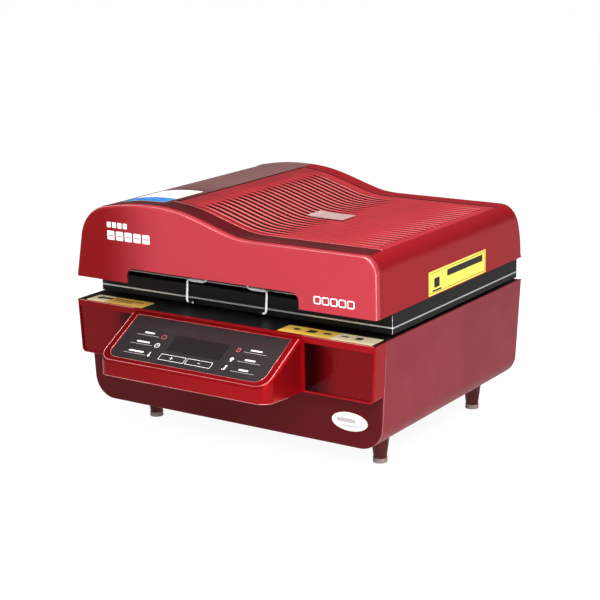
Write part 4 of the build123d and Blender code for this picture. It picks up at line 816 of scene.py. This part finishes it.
# ---------------------------------------------------------------- fascia
def fascia_edge():
    """A bead painted as the highlight along the fascia's edge, from its right foot over the top, and the
    joint behind.
    """
    tree = ray_tree("lid_fascia")
    centre = Vector((0, FASCIA_Y + 6, FASCIA_HEART_Z)) * MM
    points, outward = [], []
    for k in range(OUTLINE_STEPS + 1):
        angle = radians(OUTLINE_FROM + OUTLINE_TURN * k / OUTLINE_STEPS)
        out = Vector((cos(angle), 0, sin(angle)))
        hit, normal = tree.ray_cast(centre + out, -out)[:2]
        away = Vector((normal.x, 0, normal.z)).normalized()
        points.append(hit / MM - OUTLINE_INSET * away)
        outward.append(away)
    line = [(p.x, FASCIA_Y + 1.5, p.z) for p in points]
    bead("fascia_painted_highlight", line, 0.65, "edge", "lid")
    outline = [p + OUTLINE_INSET * n for p, n in zip(points, outward)]
    joint = [(p.x, FASCIA_Y + 12, p.z) for p in outline]
    bead("fascia_joint", joint, 0.45, "black_sheet", "lid")


def fascia_prints():
    """Two plain lines of blocks at the left, and a plain row of outlines at the right."""
    face, over = on_front(FASCIA_Y), on_front(FASCIA_Y - PRINT_T)

    def row(shape, count, pitch, x, z, *rest):
        return [shape(x[0] + pitch * k, x[1] + pitch * k, *z, *rest) for k in range(count)]

    small = row(bar, 4, 11.6, (-228, -219.4), (371, 380.5), 1.2)
    large = row(bar, 5, 18.9, (-228, -212.4), (350, 365.5), 1.8)
    prints("fascia_white_blocks", small + large, face, "white_ink", "lid")
    middles = row(bar, 5, 18.9, (-225.6, -214.8), (356.6, 358.4), 0.6)
    prints("fascia_dark_blocks", middles, over, "red_ink", "lid")
    marks = row(hollow, 5, 15.4, (187, 200.6), (291, 304), 2.0, 3.2)
    prints("fascia_outline_mark", marks, face, "white_ink", "lid")


# ---------------------------------------------------------------- console
def console_highlight_beads():
    """Two fine beads on the bezel, painted as highlights: near its rim, and round the overlay."""
    place = on_console(BEZEL_H)
    turns = [radians(a) for a in range(0, 91, 10)]

    def path(side_inset, top, foot_inset, r):
        x0, x1 = CONSOLE_X - NOSE_W / 2 + side_inset, CONSOLE_X + NOSE_W / 2 - side_inset
        foot = SLOPE_L - foot_inset
        left = [(x0 + r - r * sin(a), foot - r + r * cos(a)) for a in turns]
        right = [(x1 - r + r * cos(a), foot - r + r * sin(a)) for a in turns]
        return [(x1, top)] + right + left + [(x0, top)]

    outer = path(side_inset=3.2, top=5, foot_inset=3.2, r=NOSE_R)
    bead("bezel_outer_highlight_bead", [place(x, s, -0.25) for x, s in outer], 0.5, "edge", "base")
    inner = path(side_inset=14.2, top=7.4, foot_inset=11.2, r=18.6)
    bead("bezel_inner_highlight_bead", [place(x, s, 0.0) for x, s in inner], 0.3, "edge", "base", True)


def clock_icon(u, v):
    """A ring with two hands."""
    hour, minute = bar(u - 0.4, u + 0.4, v - 3.3, v + 0.3, 0.2), bar(u + 0.5, u + 2.6, v - 0.3, v + 0.4, 0.2)
    return [ring(u, v, 5), hour, minute]


def bulb_icon(u, v):
    """A round bulb with a stem over it."""
    return [dot(u, v, 2.2), bar(u - 0.8, u + 0.8, v - 8, v - 2.2, 0.8)]


def lamp_icon(u, v):
    """A round lamp over its cap."""
    return [dot(u, v, 3.4), bar(u - 1.3, u + 1.3, v + 3.9, v + 5.4, 0.4)]


def figure_icon(u, v):
    """A dot over a bar with a foot beside it."""
    stem, foot = bar(u - 1.8, u + 1.2, v + 2.4, v + 8.2, 1.2), bar(u - 5.2, u - 2, v + 7, v + 8.2, 0.4)
    return [dot(u, v, 1.9), stem, foot]


def key_signs():
    """A plus in the left key and a minus in the right one."""
    half = SIGN_LINE / 2
    plus, minus = SIGN_X
    level = [bar(plus - 3, plus + 3, SIGN_DOWN - half, SIGN_DOWN + half, 0.2)]
    upright = [bar(plus - half, plus + half, v0, v1, 0.2)
               for v0, v1 in ((SIGN_DOWN - 3, SIGN_DOWN - 0.5), (SIGN_DOWN + 0.5, SIGN_DOWN + 3))]
    return level + upright + [bar(minus - 2.5, minus + 2.5, SIGN_DOWN - half, SIGN_DOWN + half, 0.2)]


def console_prints():
    """Plain bars for words, underlines, simple icons and the two outlined keys."""
    place = on_console(OVERLAY_H)

    def printed(name, shapes, finish):
        prints(name, shapes, place, finish, "base")

    words = [bar(x - w / 2, x + w / 2, s - WORD_H / 2, s + WORD_H / 2, 0.7)
             for x, rows in WORDS for s, w in rows]
    printed("console_word_bars", words, "white_ink")
    lines = [bar(*span, s - RULE_H / 2, s + RULE_H / 2, 0.3) for span, rows in RULES for s in rows]
    printed("console_underlines", lines, "grey_ink")
    keys = [hollow(*span, *KEYS_DOWN, KEY_LINE, 0.6) for span in KEYS_X]
    printed("console_keys", keys + key_signs(), "white_ink")
    printed("console_power_ring", [ring(-79, 47.3, 5)], "red_ink")
    icons = clock_icon(-80, 67.3) + bulb_icon(-82.7, 91.5) + lamp_icon(71, 68) + figure_icon(69.8, 84.2)
    printed("console_icons", icons, "white_ink")
    printed("console_heat_icon", [hollow(68.4, 75, 42.6, 51.4, 1.2, 1.6, 0.8)], "red_ink")


def nose_edge():
    """A bead painted as the highlight along the lower edge of the console's nose and round its corners."""
    half, r = NOSE_W / 2, NOSE_R
    turns = [radians(a) for a in range(0, 91, 10)]
    points = [(CONSOLE_X + half, NOSE_Y + NOSE_EDGE_L)]
    points += [(CONSOLE_X + half - r + r * cos(a), NOSE_Y + r - r * sin(a)) for a in turns]
    points += [(2 * CONSOLE_X - x, y) for x, y in reversed(points)]
    line = [(x, y, NOSE_Z + 0.2 - max(0, y - NOSE_Y) * NOSE_FALL) for x, y in points]
    bead("nose_lower_edge", line, 0.45, "edge", "base")


# ---------------------------------------------------------------- labels
def ledge_prints():
    """Fields and plain marks of the two labels on the ledge."""
    for name, span, finish in LEDGE_PRINTS:
        prints(name, [bar(*span, *LEDGE_LABEL_Y, 0.3)], on_top(LEDGE_Z), finish, "base")
    marks = [dot(-268, -178, 7), bar(-262, -244, -181, -172, 1.0), bar(-236, -178, -176, -172.5, 0.8),
             bar(-236, -196, -184, -181, 0.8)]
    marks += [disc(139, -178, 6, 5, 24), bar(160, 176, -185, -171, 2.0), bar(190, 204, -182, -174, 2.0),
              bar(222, 236, -180, -175, 1.5), bar(250, 262, -184, -172, 2.0)]
    prints("ledge_plain_marks", marks, on_top(LEDGE_Z + PRINT_T), "dark_ink", "base")


def oval_prints():
    """White field, border line and plain marks of the oval badge."""
    face, over = on_front(LOWER_FRONT_Y - LABEL_T), on_front(LOWER_FRONT_Y - LABEL_T - PRINT_T)
    prints("oval_white", [disc(OVAL_X, OVAL_Z, *OVAL_R, 64)], face, "white", "base")
    line = (disc(OVAL_X, OVAL_Z, 31.2, 13.6, 64), disc(OVAL_X, OVAL_Z, 30.5, 12.9, 64))
    prints("oval_line", [line], over, "grey_ink", "base")
    marks = [bar(OVAL_X - 24, OVAL_X + 11, OVAL_Z - 2, OVAL_Z + 5, 2.0),
             bar(OVAL_X - 15, OVAL_X + 15, OVAL_Z - 8.4, OVAL_Z - 6, 1.0)]
    prints("oval_plain_marks", marks, over, "grey_ink", "base")


def lid_label_prints():
    """Fields of the crest's label, and border line and plain marks of the one on the lid's side."""
    tree = ray_tree("lid_labels")

    def on_crest(x, y, lift):
        at = inside(x, CREST_LABEL_X, EDGE_INSET), inside(y, CREST_LABEL_Y, EDGE_INSET)
        return x, y, top_of(tree, *at) + lift

    def on_side(y, z, lift):
        hit = tree.ray_cast(Vector((1, y * MM, z * MM)), Vector((-1, 0, 0)))[0]
        return hit.x / MM + lift, y, z

    def strips(y0, y1):
        x0, x1 = CREST_LABEL_X
        edges = [x0 + (x1 - x0) / STRIP_COUNT * k for k in range(STRIP_COUNT + 1)]
        return [[(a, y0), (b, y0), (b, y1), (a, y1)] for a, b in zip(edges, edges[1:])]

    blue, white = strips(CREST_LABEL_Y[0], CREST_BLUE_Y), strips(CREST_WHITE_Y, CREST_LABEL_Y[1])
    prints("crest_label_blue", blue, on_crest, "blue", "lid")
    prints("crest_label_white", white, on_crest, "white", "lid")
    marks = [hollow(*SIDE_LABEL_Y, *SIDE_LABEL_Z, 0.8, 1.0, 0.5)]
    marks += [bar(24, 150, 302, 313, 1.0), bar(-26, 4, 285, 288, 1.0), bar(-20, -2, 291, 307, 2.0)]
    prints("side_label_line", marks, on_side, "dark_ink", "lid")


# ---------------------------------------------------------------- base and rails
def base_lines():
    """On each side a shadow line behind the housing, a bead painted as a highlight by it, and one along the
    bottom painted as the floor's reflection.
    """
    tree = ray_tree("right_side_panel")
    edge = outline_hits(tree, SIDE_FRONT_Y, SIDE_ROUND, range(-58, 70, 6))
    low = outline_hits(tree, 0.0, SIDE_ROUND, [-60])[0]
    for side, name in ((-1, "left"), (1, "right")):
        seam = [(side * (p.x + 0.02), SEAM_Y, p.z) for p in edge if SEAM_Z[0] < p.z < SEAM_Z[1]]
        bead("housing_seam_" + name, seam, 0.4, "black_sheet", "base")
        front = [(side * (p.x - 0.15), SIDE_FRONT_Y - 0.4, p.z) for p in edge]
        bead("side_front_edge_" + name, front, 0.45, "edge", "base")
        sill = [(side * (low.x - 0.3), y, low.z + 0.3) for y in (SIDE_FRONT_Y, 60, 300)]
        bead("side_sill_edge_" + name, sill, 0.9, "edge", "base")


def housing_edges():
    """Beads painted as highlights along the housing's top and outer edges, beside the console."""
    y = HOUSING_EDGE_Y
    for side, name in ((-1, "left"), (1, "right")):
        line = [(CONSOLE_X + side * (NOSE_W / 2 + 1), y, HOUSING_EDGE_Z),
                (side * (HOUSING_HALF_W - 3.2), y, HOUSING_EDGE_Z)]
        line += [(side * (HOUSING_HALF_W - HOUSING_TAPER * t), y, HOUSING_SIDE_TOP_Z - HOUSING_SIDE_H * t)
                 for t in (0, 1 / 3, 2 / 3, 1)]
        bead("housing_edge_" + name, line, 0.45, "edge", "base")


def rail_highlights():
    """Beads painted as highlights on the front corners of the two rails."""
    for side, name in ((-1, "left"), (1, "right")):
        line = [(side * RAIL_CORNER_X, RAIL_CORNER_Y, z) for z in RAIL_CORNER_Z]
        bead("rail_corner_highlight_" + name, line, 0.5, "anodised", "membrane_frame")


# ---------------------------------------------------------------- stage
def white_floor():
    """A wide white sweep: white to the camera, with a soft contact shadow, and dimmer in reflections."""
    floor = bpy.data.meshes.new("floor")
    corners = [(-1, -1), (1, -1), (1, 1), (-1, 1)]
    floor.from_pydata([(x * FLOOR_HALF, y * FLOOR_HALF, 0) for x, y in corners], [], [(0, 1, 2, 3)])
    ground = bpy.data.objects.new("floor", floor)
    bpy.context.scene.collection.objects.link(ground)
    material, tree, shader, _ = surface("white_sweep", Roughness=0.95, Specular_IOR_Level=0.0)
    shader.inputs["Base Color"].default_value = linear("#E8E8E8")
    rays = add(tree, "ShaderNodeLightPath")
    glow = add(tree, "ShaderNodeEmission", inputs={"Color": (1, 1, 1, 1), "Strength": FLOOR_GLOW})
    share = add(tree, "ShaderNodeMath", {"operation": "MULTIPLY"}, {1: FLOOR_SHARE},
                {0: rays.outputs["Is Camera Ray"]})
    seen = add(tree, "ShaderNodeMixShader", links={0: share.outputs[0], 1: shader.outputs[0],
                                                   2: glow.outputs[0]})
    dim = add(tree, "ShaderNodeEmission", inputs={"Color": (1, 1, 1, 1), "Strength": FLOOR_IN_GLOSS})
    mirrored = add(tree, "ShaderNodeMixShader", links={0: rays.outputs["Is Glossy Ray"], 1: seen.outputs[0],
                                                       2: dim.outputs[0]})
    tree.links.new(mirrored.outputs[0], tree.nodes["Material Output"].inputs["Surface"])
    floor.materials.append(material)


def white_world():
    """White to the camera, a soft fill for diffuse light, and dark in reflections."""
    world = bpy.data.worlds.new("studio")
    bpy.context.scene.world = world
    world.use_nodes = True
    tree = world.node_tree
    tree.nodes.clear()
    rays = add(tree, "ShaderNodeLightPath")
    lights = [add(tree, "ShaderNodeBackground", inputs={"Color": (1, 1, 1, 1), "Strength": strength})
              for strength in (WORLD_FILL, WORLD_IN_GLOSS, 1.0)]
    gloss = add(tree, "ShaderNodeMixShader", links={0: rays.outputs["Is Glossy Ray"], 1: lights[0].outputs[0],
                                                    2: lights[1].outputs[0]})
    seen = add(tree, "ShaderNodeMixShader", links={0: rays.outputs["Is Camera Ray"], 1: gloss.outputs[0],
                                                   2: lights[2].outputs[0]})
    add(tree, "ShaderNodeOutputWorld", links={"Surface": seen.outputs[0]})


def lamp(name, place, aim, width, height, watts):
    """A rectangular area lamp turned to its aim."""
    data = bpy.data.lights.new(name, "AREA")
    data.shape, data.size, data.size_y, data.energy = "RECTANGLE", width, height, watts
    light = bpy.data.objects.new(name, data)
    light.location = place
    light.rotation_euler = (Vector(aim) - Vector(place)).to_track_quat("-Z", "Y").to_euler()
    bpy.context.scene.collection.objects.link(light)


def camera():
    """The camera on its direction from the target, turned by the roll."""
    az, el, roll = radians(AZIMUTH), radians(ELEVATION), radians(ROLL)
    back = Vector((sin(az) * cos(el), -cos(az) * cos(el), sin(el)))
    right = Vector((0, 0, 1)).cross(back).normalized()
    up = back.cross(right)
    x_axis = right * cos(roll) + up * sin(roll)
    y_axis = up * cos(roll) - right * sin(roll)
    place = (Vector(TARGET) + back * DISTANCE) * MM
    view = bpy.data.cameras.new("camera")
    view.lens, view.sensor_width = LENS, SENSOR
    view.clip_end = CAMERA_REACH
    eye = bpy.data.objects.new("camera", view)
    eye.matrix_world = Matrix((
        (x_axis.x, y_axis.x, back.x, place.x), (x_axis.y, y_axis.y, back.y, place.y),
        (x_axis.z, y_axis.z, back.z, place.z), (0, 0, 0, 1)))
    bpy.context.scene.collection.objects.link(eye)
    bpy.context.scene.camera = eye
    bpy.context.scene.view_settings.view_transform = "Standard"


paint_nodes()
ribbed_insert()
cove()
fascia_edge()
fascia_prints()
console_highlight_beads()
console_prints()
ledge_prints()
oval_prints()
lid_label_prints()
base_lines()
housing_edges()
rail_highlights()
nose_edge()
crest_seam()
white_floor()
white_world()
for setting in LAMPS:
    lamp(*setting)
camera()
